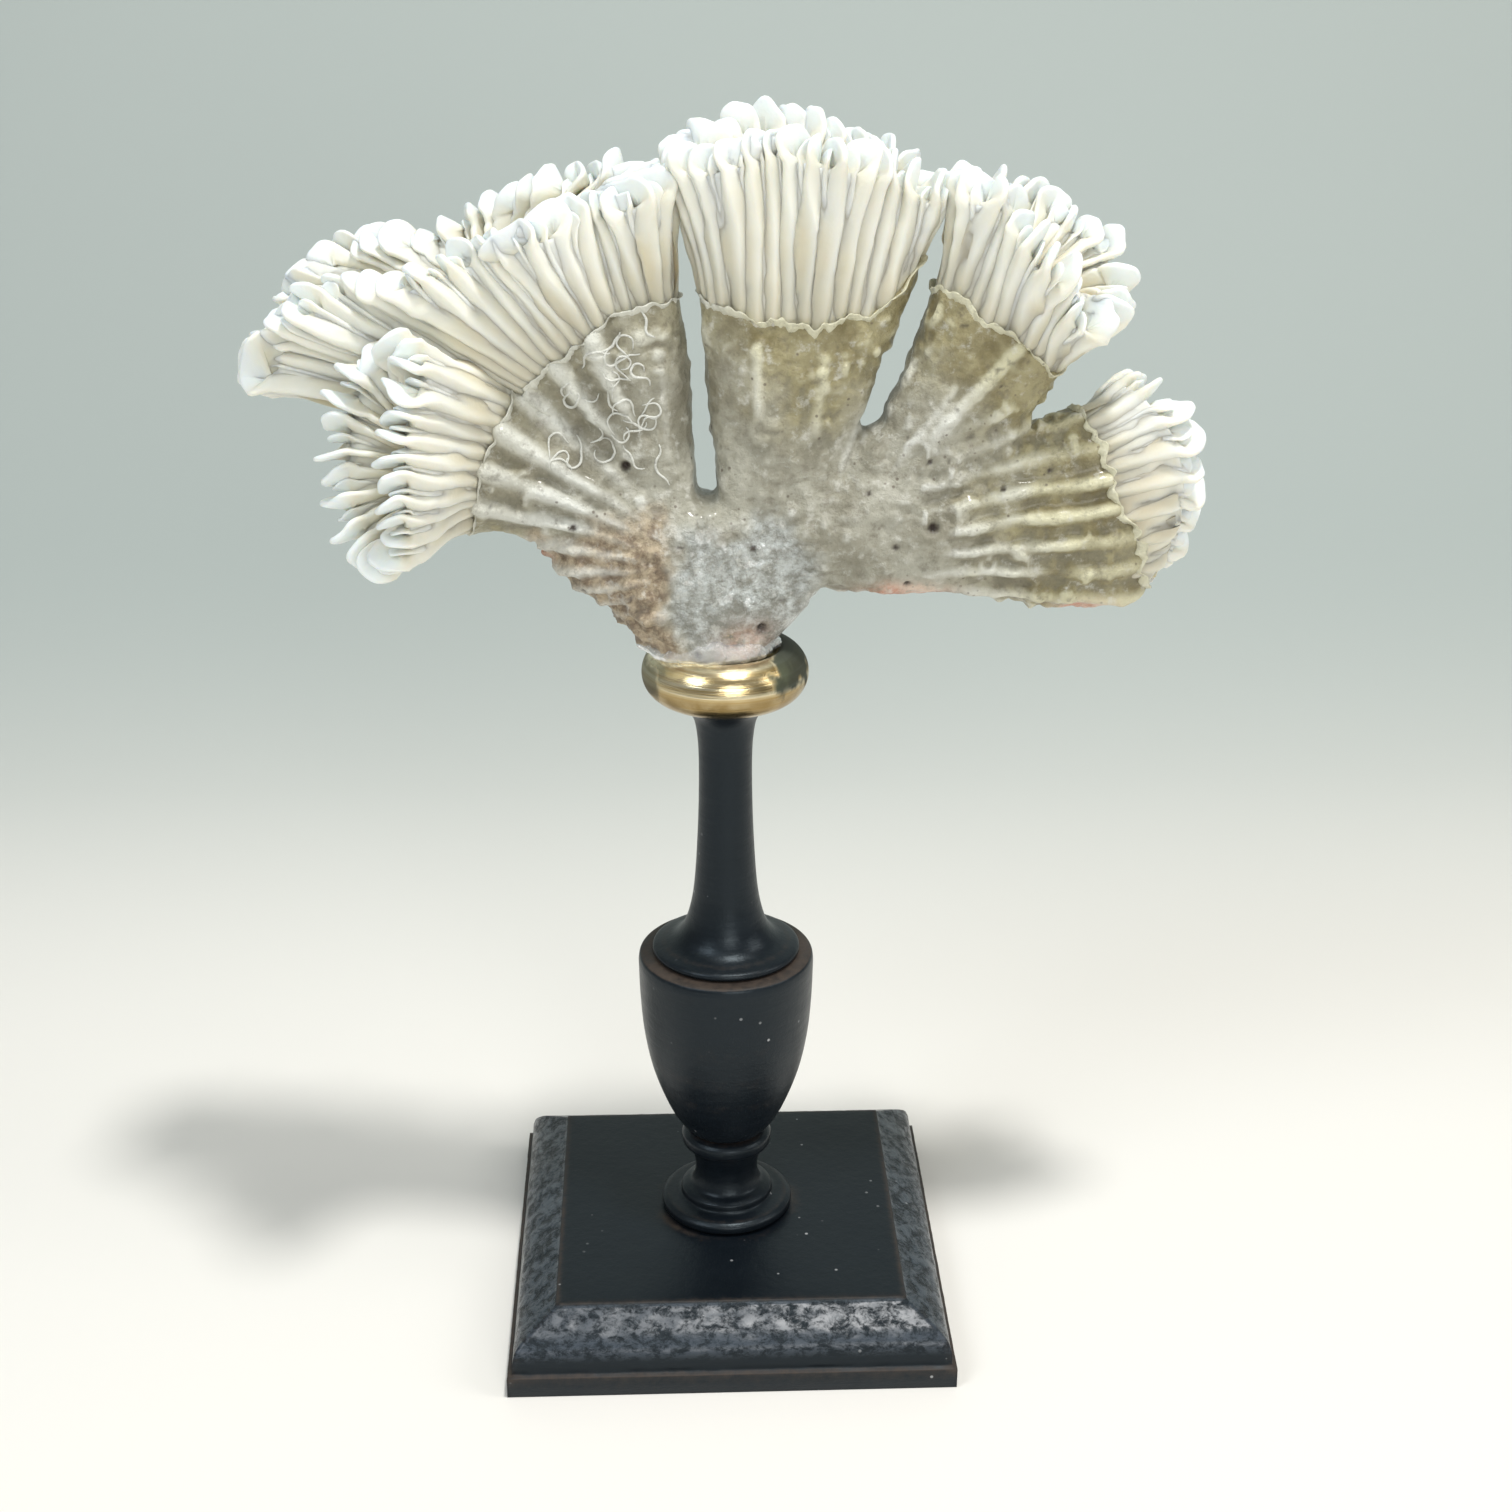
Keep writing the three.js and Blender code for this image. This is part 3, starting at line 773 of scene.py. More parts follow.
def shapeWalls(body, climb):
    # lumps, fibres, glaze, bored holes and crusts; climb is 0 at the forks and 1 at the crust's edge
    mesh = body.data
    spots = readPoints(mesh)
    normals = readPoints(mesh, "normal")
    edges = edgesOf(mesh)
    x, y, z = spots[:, 0], spots[:, 1], spots[:, 2]
    front = smoothStep(0.1, -0.4, normals[:, 1])
    warp = layeredNoise(spots, 9.0, 3, 4) * 4.5
    tan = smoothStep(-8, -14, x + warp) * smoothStep(43, 38, z - 0.25 * (x + 20) + warp * 0.8)
    glaze = smoothStep(-12, -6, x + warp) * smoothStep(24, 15, x + warp) * smoothStep(43, 36, z + warp * 0.9)
    under = smoothStep(26, 20, z + warp * 0.4)
    blush = 1.3 * blob(x, z, (40, 20), (8, 5)) * smoothStep(28, 22, z + warp * 0.4)
    blush = blush + 1.6 * blob(x, z, (81, 15), (7, 3)) * under
    blush = blush + 1.5 * blob(x, z, (-42, 29), (2.5, 2.5)) + 0.5 * blob(x, z, (5, 10), (6, 5)) * front
    olive = smoothStep(0.35, 0.95, climb + warp * 0.03)
    olive = olive * (0.35 + 0.65 * smoothStep(-15, 15, x + warp))
    olive = olive + 0.9 * blob(x, z, (-55, 33), (9, 4)) + 0.35 * smoothStep(40, 75, x)
    fused = 1 - smoothStep(0.5, 0.95, climb)
    calm = np.clip(blob(x, z, (13, 56), (7, 12)) + 0.8 * blob(x, z, (-12, 62), (7, 16)), 0, 1)
    crusty = (0.35 + 0.65 * smoothStep(-0.3, 0.4, softNoise(spots, 15.0, 81))) * (1 - 0.8 * calm)
    lumps = layeredNoise(spots, 9.0, 21, 2) * 0.8 * fused
    knobs = layeredNoise(spots, 3.6, 51, 3)
    knobs = (np.abs(knobs) - 0.25) * 1.1 + knobs * 0.25
    grain = layeredNoise(spots, 1.9, 31, 2) * 0.16
    strings = layeredNoise(np.stack([x * 0.5 + z * 0.35, y, z * 0.3 - x * 0.3], -1), 1.3, 41, 3)
    ribs = sum(height * stripe(x, z, start, end, width) for start, end, width, height in oldRibs) * front
    leftZone = smoothStep(-15, -27, x + 0.25 * warp)
    rightZone = smoothStep(40, 60, x + warp) * smoothStep(66, 60, z)
    fanZone = (leftZone + rightZone) * smoothStep(0.1, 0.5, np.abs(normals[:, 1]))
    leftFan, rightFan = fan(x, z, (-4, 30), 37, spots, 101), fan(x, z, (-37, 27), 108, spots, 111)
    fans = np.where(x < 0, leftFan, rightFan) * fanZone
    # flank darkens the wall through the relief mask: painted shadow down the left lobe's edge beside the
    # slot; the second patch darkens the centre's front
    flank = blob(x, z, (-10.5, 64), (3.0, 18)) + 0.75 * blob(x, z, (13, 60), (11, 14)) * front
    flank = flank * np.clip(0.8 + 0.5 * softNoise(spots, 7.0, 131), 0, 1.2)
    scar = np.hypot(x - 41, z - 54)
    ring = np.exp(-(((scar - 2.6) / 0.5) ** 2)) * front * smoothStep(-1.5, 0.5, z - 54 + (x - 41) * 0.4)
    calmEdge = 1 - 0.75 * smoothStep(0.86, 0.97, climb)
    detail = (knobs * crusty * (1 - 0.6 * glaze) + grain) * calmEdge + ribs + 0.5 * ring
    fibres = tan * (np.abs(strings) - 0.25) * 1.5
    rise = lumps * calmEdge + detail * 1.25 + fibres + (fans - 0.3 * fanZone) * 2.1
    # how much painted shade each bored hole and small pit gets
    pitShade = np.zeros(len(spots))
    for (holeX, holeZ), width, depth in boreHoles:
        apart = np.hypot(x - holeX, z - holeZ)
        inside = smoothStep(width * 1.3, width * 0.5, apart) * front
        rim = np.exp(-(((apart - width * 1.5) / (width * 0.45)) ** 2)) * front
        rise = rise - inside * depth + rim * 0.3
        pitShade = np.maximum(pitShade, inside)
    peppered = np.clip(softNoise(spots, 1.3, 61) - 0.62, 0, 1) * 3
    peppered = peppered * smoothStep(0.1, 0.5, softNoise(spots, 12, 63))
    rise = rise - peppered * 0.5
    pitShade = np.maximum(pitShade, np.clip(peppered * 0.9, 0, 0.8))
    movePoints(mesh, smoothed(spots + normals * rise[:, None], edges, 1))
    # above 0.5 the wall gets a painted highlight on bumps and ridges, below it painted shade in hollows and
    # where flank lowers it
    paleAndShade = 0.5 + detail * 0.75 + (fans - 0.35 * fanZone) * 0.7 - 0.45 * flank
    writeMasks(mesh, {
        "tan": tan, "glaze": glaze, "pitShade": pitShade,
        "ridge": np.clip(fans * 1.1 + ribs + ring * 0.5, 0, 1),
        "blush": np.clip(blush, 0, 1),
        "olive": np.clip(olive, 0, 1),
        "red": blob(x, z, (-42.5, 29.5), (1.6, 1.8)),
        "chalky": leftZone * np.clip(fans * 1.3, 0, 1),
        "paleAndShade": np.clip(paleAndShade, 0, 1),
    })


wormTubes = {
    "count": 30, "radius": 0.3, "step": 0.55, "left": -34, "right": -14, "bottom": 50, "top": 82, "seed": 5,
}


def makeWormTubes(body, material):
    # thin limy tubes that wander over the dead wall
    spec = wormTubes
    rng = np.random.default_rng(spec["seed"])
    tree = BVHTree.FromObject(body, bpy.context.evaluated_depsgraph_get())
    points, faces = [], []
    sides = 7
    turns = np.linspace(0, 2 * math.pi, sides, endpoint=False)
    for _ in range(spec["count"]):
        x, z = rng.uniform(spec["left"], spec["right"]), rng.uniform(spec["bottom"], spec["top"])
        heading, bend = rng.uniform(0, 2 * math.pi), rng.normal(0, 0.2)
        path, outs = [], []
        for _ in range(rng.integers(9, 26)):
            hit, normal, _, _ = tree.ray_cast(Vector((x, -60, z)), Vector((0, 1, 0)))
            if hit is None or normal.y > -0.35:
                break
            path.append(np.array(hit + normal * 0.12))
            outs.append(np.array(normal))
            bend = np.clip(bend * 0.85 + rng.normal(0, 0.2), -0.42, 0.42)
            heading += bend
            x, z = x + spec["step"] * math.cos(heading), z + spec["step"] * math.sin(heading)
        if len(path) < 5:
            continue
        path, outs = np.array(path), np.array(outs)
        forward = unitVectors(np.gradient(path, axis=0))
        side = unitVectors(np.cross(forward, outs))
        up = np.cross(side, forward)
        taper = 0.35 + 0.65 * np.sin(np.linspace(0.15, 3.0, len(path)))
        slim = spec["radius"] * rng.uniform(0.7, 1.15) * taper
        ring = side[:, None] * np.cos(turns)[None, :, None] + up[:, None] * np.sin(turns)[None, :, None]
        start = sum(len(part) for part in points)
        points.append((path[:, None] + ring * slim[:, None, None]).reshape(-1, 3))
        tube = list(gridFaces(len(path), sides)) + endCaps(len(path), sides)
        faces += [[i + start for i in face] for face in tube]
    points = np.concatenate(points)
    pale = np.ones(len(points))
    piece = makeMesh("worm_tubes", place(points), faces, {"ridge": pale * 0.9, "paleAndShade": pale})
    return finishPiece(piece, material, "dead_wall")


def splitWalls(body, owners, names, material):
    # parts the fused wall at the forks; each part is closed where it was cut
    mesh = body.data
    normals = readPoints(mesh, "normal")
    tree = pointTree(readPoints(mesh))
    source = bmesh.new()
    source.from_mesh(mesh)
    source.faces.ensure_lookup_table()
    faceOwners = [int(np.bincount([owners[v.index] for v in face.verts]).argmax()) for face in source.faces]
    for index, name in enumerate(names):
        part = source.copy()
        part.faces.ensure_lookup_table()
        away = [face for face, own in zip(part.faces, faceOwners) if own != index]
        bmesh.ops.delete(part, geom=away, context="FACES")
        rim = [edge for edge in part.edges if edge.is_boundary]
        for edge in rim:
            edge.smooth = False
        inner = bmesh.ops.extrude_edge_only(part, edges=rim)["geom"]
        for vertex in (item for item in inner if isinstance(item, bmesh.types.BMVert)):
            vertex.co -= Vector(normals[tree.find(vertex.co)[1]]) * capDepth
        lids = bmesh.ops.holes_fill(part, edges=[edge for edge in part.edges if edge.is_boundary], sides=0)
        bmesh.ops.poke(part, faces=lids["faces"], center_mode="MEAN")
        for vertex in part.verts:
            vertex.co = Vector(place(vertex.co))
        piece = makeMesh(nodeNames[name] + "_wall", [], [])
        part.to_mesh(piece.data)
        part.free()
        piece.data.polygons.foreach_set("use_smooth", [True] * len(piece.data.polygons))
        finishPiece(piece, material, "dead_wall", nodeNames[name])
    source.free()
    bpy.data.objects.remove(body)


cupFlare = 1.2  # how far the white cup leans out at its rim


def cupMesh(lobe):
    # the thin white wall between the plates: up the outside, over the rim and down into the valley
    spec = lobe.spec
    columns = 2 * int(lobe.rimLength() / 1.1 / 2)
    angles = lobe.evenAngles(columns)
    foot = lobe.edgeLevel(angles) - 0.05
    floor = 1 - spec["valleyDepth"] / lobe.length
    outside, inside = 22, 14
    # the third list gives each row its share of painted shade: more low on the outside, and more the deeper
    # it is in the valley
    rows, crest, hollowShade = [], [], []
    for i in range(outside):
        share = i / (outside - 1)
        along = foot + (1 - foot) * share
        out = cupFlare * share**2 + 0.15 - 0.9 * smoothStep(0.2, 0, share)
        rows.append(lobe.shell(angles, along, 1.0, np.full(columns, out))[0])
        crest.append(share * 0.75)
        hollowShade.append(0.62 - 0.3 * share)
    for i in range(inside):
        share = i / (inside - 1)
        along = np.full(columns, 1 - (1 - floor) * share**1.3)
        width = 0.9 - 0.8 * share**0.8
        rows.append(lobe.shell(angles, along, width, np.zeros(columns))[0])
        crest.append(0.75 * (1 - share))
        hollowShade.append(0.35 + 0.65 * share)
    points = np.concatenate(rows)
    points = points + 0.25 * np.stack([softNoise(points, 2.5, s) for s in (1, 2, 3)], -1)
    faces = list(gridFaces(len(rows), columns))
    faces += ladderFaces(0, columns, True) + ladderFaces((len(rows) - 1) * columns, columns, False)
    return points, faces, np.repeat(crest, columns), np.repeat(hollowShade, columns)


sectionDepths = (99, 3.2, 1.7, 1.0, 0.5, 0.18, 0.04)  # a plate's section, from its foot to its edge


def septaMesh(lobe, angles, rng, size):
    # Rounded plates that stand across the rim. Each starts at the crust's edge as a rib, rises over the
    # rim as a rounded crest and runs down into the valley. `size` scales the big and the small cycles.
    spec = lobe.spec
    count = len(angles)
    outerSteps, crestSteps, innerSteps = size["steps"]
    angle = angles[:, None]

    def random(low, high):
        return rng.uniform(low, high, count)[:, None]

    foot = lobe.edgeLevel(angles)[:, None] - 0.03 + random(0, size["lateStart"])
    floor = 1 - spec["valleyDepth"] / lobe.length

    climb = np.linspace(0, 1, outerSteps)[None, :]
    along = foot + (1 - foot) * climb
    base = lobe.loop(angle, along)[0]
    fade = 1 + size["uneven"] * layeredNoise(base * [1, 1, 0.5] + rng.uniform(0, 99), 6.0, 77, 2)
    costa = size["costa"] * (0.75 * smoothStep(-0.02, 0.1, climb) + 0.25 * climb) * random(0.8, 1.15) * fade
    costa = costa + cupFlare * climb**2 + size["flare"] * climb**3
    wander = angle + 0.5 * np.gradient(angles)[:, None] * softNoise(base, 17.0, 55) * climb * (1 - climb) * 3
    outerWall = lobe.shell(angle, along, 1.0, np.full(along.shape, -0.5))[0]
    outerEdge, _, _ = lobe.shell(wander, along, 1.0, costa)

    rim, outward, growth = lobe.shell(angles, np.ones(count), 1.0, np.full(count, 0.4))
    innerStart = lobe.loop(angles, 1.0, 0.55)[0] - rim
    innerStart = innerStart - growth * (innerStart * growth).sum(-1, keepdims=True)
    rim, outward, growth, innerStart = (part[:, None, :] for part in (rim, outward, growth, innerStart))
    turn = np.linspace(0, math.pi, crestSteps + 2)[None, 1:-1]
    heights = softNoise(rim[:, 0], 7.0, spec["seed"] + 33)[:, None]
    rise = size["rise"] * random(0.85, 1.12) * (1 + 0.28 * heights)
    clusters = softNoise(rim[:, 0] + spec["seed"], size["clusterWidth"], 91)[:, None]
    swing = random(-1, 1) * size["swing"] + clusters * size["clusterSwing"] + spec.get("swingBias", 0)
    swing = np.clip(swing, -0.95, 0.95)
    rise = rise * (1 + 0.22 * np.abs(swing))
    pointed = random(*size["pointed"])
    overhang = costa[:, -1:] + random(0, 0.7)
    cosine, sine = np.cos(turn)[..., None], (np.sin(turn) ** pointed)[..., None]
    outReach, inReach = outward * overhang[..., None] * cosine, -innerStart * cosine * size["inward"]
    reach = np.where(cosine > 0, outReach, inReach)
    crestEdge = rim + reach + growth * sine * rise[..., None]
    crestWall = np.broadcast_to(rim - outward * 0.8, crestEdge.shape)

    dive = np.linspace(0, 1, innerSteps)[None, :]
    innerAlong = 1 - (1 - floor) * dive**1.15
    wallShare = 0.92 - 0.5 * dive
    edgeShare = (0.55 - 0.47 * dive**0.75) * size["inward"] + wallShare * (1 - size["inward"])
    innerWall = lobe.loop(angle, innerAlong, wallShare)[0]
    innerEdge = lobe.loop(angle, innerAlong, edgeShare)[0]

    edge = np.concatenate([outerEdge, crestEdge, innerEdge], axis=1)
    wall = np.concatenate([outerWall, crestWall, innerWall], axis=1)
    steps = edge.shape[1]
    stage = np.concatenate([climb * np.ones((count, 1)), 1 + np.sin(turn) * np.ones((count, 1)),
                            (1 - dive) * np.ones((count, 1))], axis=1)

    # the crest swings sideways, so that some plates show their face
    lift = smoothStep(0.3, 1.6, stage)[..., None]
    side = unitVectors(np.cross(growth, outward))
    arm = edge - rim
    level = arm - growth * (arm * growth).sum(-1, keepdims=True)
    turned = level * np.cos(swing)[..., None] + np.cross(growth, level) * np.sin(swing)[..., None]
    edge = edge + (turned - level) * lift
    lean = random(-1, 1)[..., None] * size["lean"]
    edge = edge + side * lean * lift
    seeds = rng.uniform(0, 500, (count, 1, 3))
    ripple = softNoise(edge * [0.8, 0.8, 0.8] + seeds, 5.0, 9)[..., None]
    edge = edge + side * ripple * (0.35 + 0.75 * lift)
    scallop = softNoise(edge + seeds, 2.9, 13)[..., None] * size["scallop"]
    edge = edge + unitVectors(edge - wall) * scallop * (0.25 + lift)

    path = np.gradient(edge, axis=1)
    lateral = unitVectors(np.cross(path, edge - wall))
    for _ in range(2):
        lateral[:, 1:-1] = unitVectors(lateral[:, :-2] + 2 * lateral[:, 1:-1] + lateral[:, 2:])
    width = np.linalg.norm(edge - wall, axis=-1, keepdims=True)
    within = np.concatenate([climb * 0, (1 - np.cos(turn)) / 2, dive * 0 + 1], axis=1)
    plate = np.maximum(smoothStep(0.5, 1.35, stage), within)[..., None]
    nose = size["nose"] * random(0.8, 1.25)[..., None] * (1 - 0.3 * plate)
    spread = size["fold"] * (1 - plate) + 0.1 * plate
    inward = (wall - edge) / np.maximum(width, 1e-6)
    cross, crossCavity = [], []
    for sign in (1, -1):
        line, hollow = [], []
        for depth in sectionDepths:
            depth = np.minimum(depth, width)
            fall = 1 - np.minimum(depth / nose, 1)
            halfWidth = nose * np.sqrt(np.maximum(1 - fall**2, 0)) + spread * np.minimum(depth, 2.6) ** 1.25
            line.append(edge + inward * depth + lateral * sign * halfWidth)
            hollow.append(np.clip(depth / (1.3 + 6.5 * plate), 0, 1)[..., 0])
        cross.append(line)
        crossCavity.append(hollow)
    columns = cross[0] + [edge] + cross[1][::-1]
    grid = np.stack(columns, axis=2)
    # the hollow values become painted shade: more the further into the groove beside a plate's edge, and more
    # down in the valley
    hollowShade = np.stack(crossCavity[0] + [np.zeros((count, steps))] + crossCavity[1][::-1], axis=2)
    insideShare = np.concatenate([np.zeros(outerSteps + crestSteps), dive[0]])[None, :, None]
    hollowShade = np.clip(hollowShade * 0.75 + insideShare**0.7 * 0.8, 0, 1)
    crest = np.broadcast_to((stage / 2)[..., None], grid.shape[:3])
    across = grid.shape[2]
    plateFaces = gridFaces(steps, across)
    starts = [k * steps * across for k in range(count)]
    quads = np.concatenate([plateFaces + start for start in starts])
    caps = [[i + start for i in cap] for start in starts for cap in endCaps(steps, across)]
    return grid.reshape(-1, 3), list(quads) + caps, crest.reshape(-1), hollowShade.reshape(-1)


septaSizes = {
    "big": {"steps": (18, 20, 14), "lateStart": 0.02, "costa": 1.2, "uneven": 0.35, "flare": 1.5, "rise": 6.4,
            "pointed": (0.5, 0.85), "inward": 1.0, "swing": 0.35, "clusterWidth": 12, "clusterSwing": 1.7,
            "lean": 1.0, "scallop": 0.6, "nose": 0.8, "fold": 0.95},
    "small": {"steps": (12, 9, 8), "lateStart": 0.14, "costa": 0.4, "uneven": 0.8, "flare": 0.8, "rise": 3.8,
              "pointed": (0.7, 1.1), "inward": 0.55, "swing": 0.3, "clusterWidth": 12, "clusterSwing": 1.5,
              "lean": 0.9, "scallop": 0.4, "nose": 0.4, "fold": 0.5},
}


def makeCalice(name, lobe, material):
    rng = np.random.default_rng(lobe.spec["seed"])
    count = 2 * round(lobe.rimLength() / lobe.spec["spacing"] / 2)
    angles = lobe.evenAngles(2 * count)
    jitter = rng.uniform(-0.16, 0.16, 2 * count) * np.gradient(np.unwrap(angles))
    angles = angles + jitter
    parts = [cupMesh(lobe), septaMesh(lobe, angles[::2], rng, septaSizes["big"]),
             septaMesh(lobe, angles[1::2], rng, septaSizes["small"])]
    points, faces, crest, hollowShade = [], [], [], []
    start = 0
    for p, f, top, hollow in parts:
        points.append(p)
        faces += [[int(i) + start for i in face] for face in f]
        start += len(p)
        crest.append(top)
        hollowShade.append(hollow)
    masks = {"crest": np.concatenate(crest), "hollowShade": np.concatenate(hollowShade)}
    piece = makeMesh(nodeNames[name] + "_septa", place(np.concatenate(points)), faces, masks)
    return finishPiece(piece, material, "white_septa")


def makeCrustEdge(name, lobe, material):
    # the thin wavy edge of the crust, like torn paper round the white ribs
    middleLevel, step = 0.67, 0.4
    columns = 2 * int(lobe.rimLength(middleLevel) / step / 2)
    angles = lobe.evenAngles(columns, middleLevel)
    level = lobe.edgeLevel(angles)
    spots = lobe.loop(angles, level)[0]
    flutter = layeredNoise(spots, 2.6, lobe.spec["seed"] + 9, 2)
    tall = 0.8 + 0.6 * softNoise(spots, 3.4, lobe.spec["seed"] + 15) + 0.5 * softNoise(spots, 0.9, 4)
    millimetre = 1 / lobe.length
    section = ((-1.4, crustOut - 0.15), (-0.4, crustOut + 0.2), (0.1, crustOut + 0.5), (0.45, crustOut + 0.5),
               (0.4, crustOut + 0.2), (-0.3, crustOut - 0.3), (-1.4, crustOut - 0.8))
    rows = []
    for up, out in section:
        wave = flutter * 0.75 * smoothStep(-1.2, 0.4, up)
        rows.append(lobe.shell(angles, level + up * tall * millimetre, 1.0, out + wave)[0])
    points = np.stack(rows, axis=1).reshape(-1, 3)
    tip = np.tile([0.3, 0.7, 1.0, 1.0, 1.0, 0.4, 0.2], columns)
    ochre = 0.2 + 0.6 * smoothStep(-6, 8, points[:, 0])
    masks = {"ridge": 0.4 + 0.8 * tip, "paleAndShade": np.ones(len(points)), "olive": ochre}
    faces = wheelFaces(columns, len(section))
    piece = makeMesh(nodeNames[name] + "_crust_edge", place(points), faces, masks)
    return finishPiece(piece, material, "dead_wall")


def latheMesh(name, profile, sides, wearAndShade):
    # profile points are (radius, height) in metres from the axis at the bottom to the axis at the top
    turns = np.linspace(0, 2 * math.pi, sides, endpoint=False)
    body = profile[1:-1]
    rows = [np.stack([r * np.cos(turns), r * np.sin(turns), np.full(sides, z)], -1) for r, z in body]
    points = np.concatenate(rows + [[[0, 0, profile[0][1]], [0, 0, profile[-1][1]]]])
    faces = [list(face) for face in gridFaces(len(body), sides)]
    bottom, top = len(points) - 2, len(points) - 1
    lastRow = (len(body) - 1) * sides
    faces += [[bottom, (i + 1) % sides, i] for i in range(sides)]
    faces += [[top, lastRow + i, lastRow + (i + 1) % sides] for i in range(sides)]
    return makeMesh(name, points, faces, {"wearAndShade": np.append(np.repeat(wearAndShade[1:-1], sides), [0, 0])})


usualRounding = 0.3  # share of a side that the arc at a corner takes


def smoothProfile(corners, steps):
    # rounds each corner of a profile by a small arc; corners are (radius, height, rounding share)
    points = [corners[0][:2]]
    for before, corner, after in zip(corners, corners[1:], corners[2:]):
        here, last, following = (Vector(c[:2]) for c in (corner, before, after))
        reach = corner[2] if len(corner) > 2 else usualRounding
        start = here + (last - here) * reach
        end = here + (following - here) * reach
        for i in range(steps + 1):
            t = i / steps
            points.append(tuple(start * (1 - t) ** 2 + here * 2 * t * (1 - t) + end * t**2))
    points.append(corners[-1][:2])
    return points


stem = {  # radius and height of each corner in millimetres above the piece's own underside
    "stem_foot": [
        (0, 0), (15.3, 0, 0.03), (16.1, 0.8), (16.1, 2.2), (15.0, 3.1), (12.2, 3.3), (11.3, 3.7),
        (11.2, 5.2), (10.2, 5.9), (8.6, 6.5, 0.4), (7.6, 9.2, 0.45), (7.7, 13, 0.45), (9.0, 17.2),
        (9.3, 17.5), (10.9, 18.2), (11.0, 20.6), (10.2, 21.5), (8.8, 22.0), (0, 22.0),
    ],
    "stem_urn": [
        (0, 0), (9.2, 0, 0.05), (10.6, 1.3, 0.4), (13.2, 5.1, 0.45), (16, 11.7, 0.48), (18.4, 19.2, 0.48),
        (20, 28.2, 0.48), (20.7, 37.7, 0.48), (20.9, 46.6, 0.1), (20.7, 48.3, 0.4), (19.9, 49.0, 0.4),
        (0, 49.0),
    ],
    "stem_neck": [
        (0, 0), (17.2, 0, 0.03), (17.6, 0.6, 0.45), (17.3, 1.5, 0.45), (15.6, 2.1, 0.3), (12.2, 3.3, 0.45),
        (9.7, 6.7, 0.48), (8.2, 11.8, 0.48), (7.2, 18.5, 0.48), (6.3, 35, 0.48), (6.1, 49, 0.48),
        (6.4, 55, 0.48), (7.1, 59.4, 0.45), (8.4, 61.4, 0.4), (9.8, 62.6, 0.3), (10.2, 63.4, 0.2),
        (10.2, 64.2, 0.1), (0, 64.2),
    ],
}


def makeStem(paint):
    for node, corners in stem.items():
        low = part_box(node)[0][2]
        profile = [(r * mm, low + z * mm) for r, z in smoothProfile(corners, 4)]
        radii = np.array([r for r, _ in profile])
        bulge = np.clip((radii - (np.roll(radii, 3) + np.roll(radii, -3)) / 2) * 900, 0, 1)
        finishPiece(latheMesh(node + "_turned", profile, 144, bulge), paint, "black_paint", node)


plinth = {
    # in from the side, height and rounding of each corner of the moulding, in millimetres
    "moulding": [
        (0, 5.2, 0.06), (1.2, 5.5, 0.3), (1.2, 8.2, 0.4), (1.9, 11.0, 0.45), (4.4, 13.3, 0.45),
        (7.8, 15.2, 0.4), (10.9, 16.8, 0.2),
    ],
    "topInset": 11.5,
    "stemFootRadius": 17.0,
    "pointsOnSide": 90,
}


def makePlinth(paint):
    low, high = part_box("plinth")
    half = (high[0] - low[0]) / 2
    height = high[2] - low[2]
    corners = [(0, 0), (half, 0, 0.02)]
    corners += [(half - inset * mm, up * mm, rounding) for inset, up, rounding in plinth["moulding"]]
    corners += [(half - plinth["topInset"] * mm, height, 0.2), (0, height)]
    profile = smoothProfile(corners, 5)[1:-1]
    side = plinth["pointsOnSide"]
    lines = np.linspace(-1, 1, side, endpoint=False)
    ring = np.concatenate([
        np.stack([lines, -np.ones(side)], -1), np.stack([np.ones(side), lines], -1),
        np.stack([-lines, np.ones(side)], -1), np.stack([-np.ones(side), -lines], -1),
    ])
    inner = [0.8, 0.6, *np.linspace(0.5, 0.34, 9), 0.2]
    levels = [(profile[0][0] * share, 0.0) for share in inner[::-1]] + profile
    levels += [(profile[-1][0] * share, height) for share in inner]
    points = np.concatenate([np.column_stack([ring * r, np.full(len(ring), z)]) for r, z in levels])
    points[:, 2] += low[2]
    level = points[:, 2] - low[2]
    slope = smoothStep(0.0, 2 * mm, level) * smoothStep(height, height - 1.5 * mm, level)
    brush = layeredNoise(points * 1000 * [1, 1, 2.2], 3.2, 5) * 0.00022 * slope
    outward = unitVectors(points * [1, 1, 0] + 1e-9)
    points = points + outward * brush[:, None] * 0.35
    points[:, 2] += brush * 0.3
    faces = list(gridFaces(len(levels), len(ring))) + endCaps(len(levels), len(ring))
    heights = (points[:, 2] - low[2]) * 1000
    square = np.abs(points[:, :2]).max(1)
    corner = smoothStep(0.93, 1.0, np.abs(points[:, :2]).min(1) / square)
    brink = smoothStep(half - 13.5 * mm, half - 11.8 * mm, square)
    wearAndShade = np.exp(-((heights - 5.2) / 0.5) ** 2) + np.exp(-((heights - 17.5) / 0.35) ** 2) * 0.8 * brink
    reach = np.hypot(points[:, 0], points[:, 1]) * 1000
    around = 0.6 + 0.5 * softNoise(points * 1000, 9.0, 15)
    ringWear = np.exp(-(((reach - plinth["stemFootRadius"]) / 1.5) ** 2)) * around
    masks = {"wearAndShade": np.clip(wearAndShade + corner * 0.5 * slope + ringWear, 0, 1),
             # the moulding's slope: brush strokes in the bump and a painted bluish sheen in the colour
             "brushedSheen": smoothStep(8.0, 11.0, heights) * smoothStep(17.6, 16.8, heights)}
    piece = makeMesh("plinth_moulded", points, faces, masks)
    finishPiece(piece, paint, "black_paint", "plinth")


collar = {
    "beadDegrees": 172,  # how far the round of the bun reaches, from below up to the dish
    "beadSteps": 39,
    "dish": [(12.5, 0.5), (11.5, 3.0), (0, 3.0)],  # radius and depth below the top, in millimetres
    # x and depth below the top of each dull patch's middle, its half width and half height, in millimetres
    "tarnish": ((15.5, 0, 5.5, 7), (-18.5, 6, 3, 5)),
}


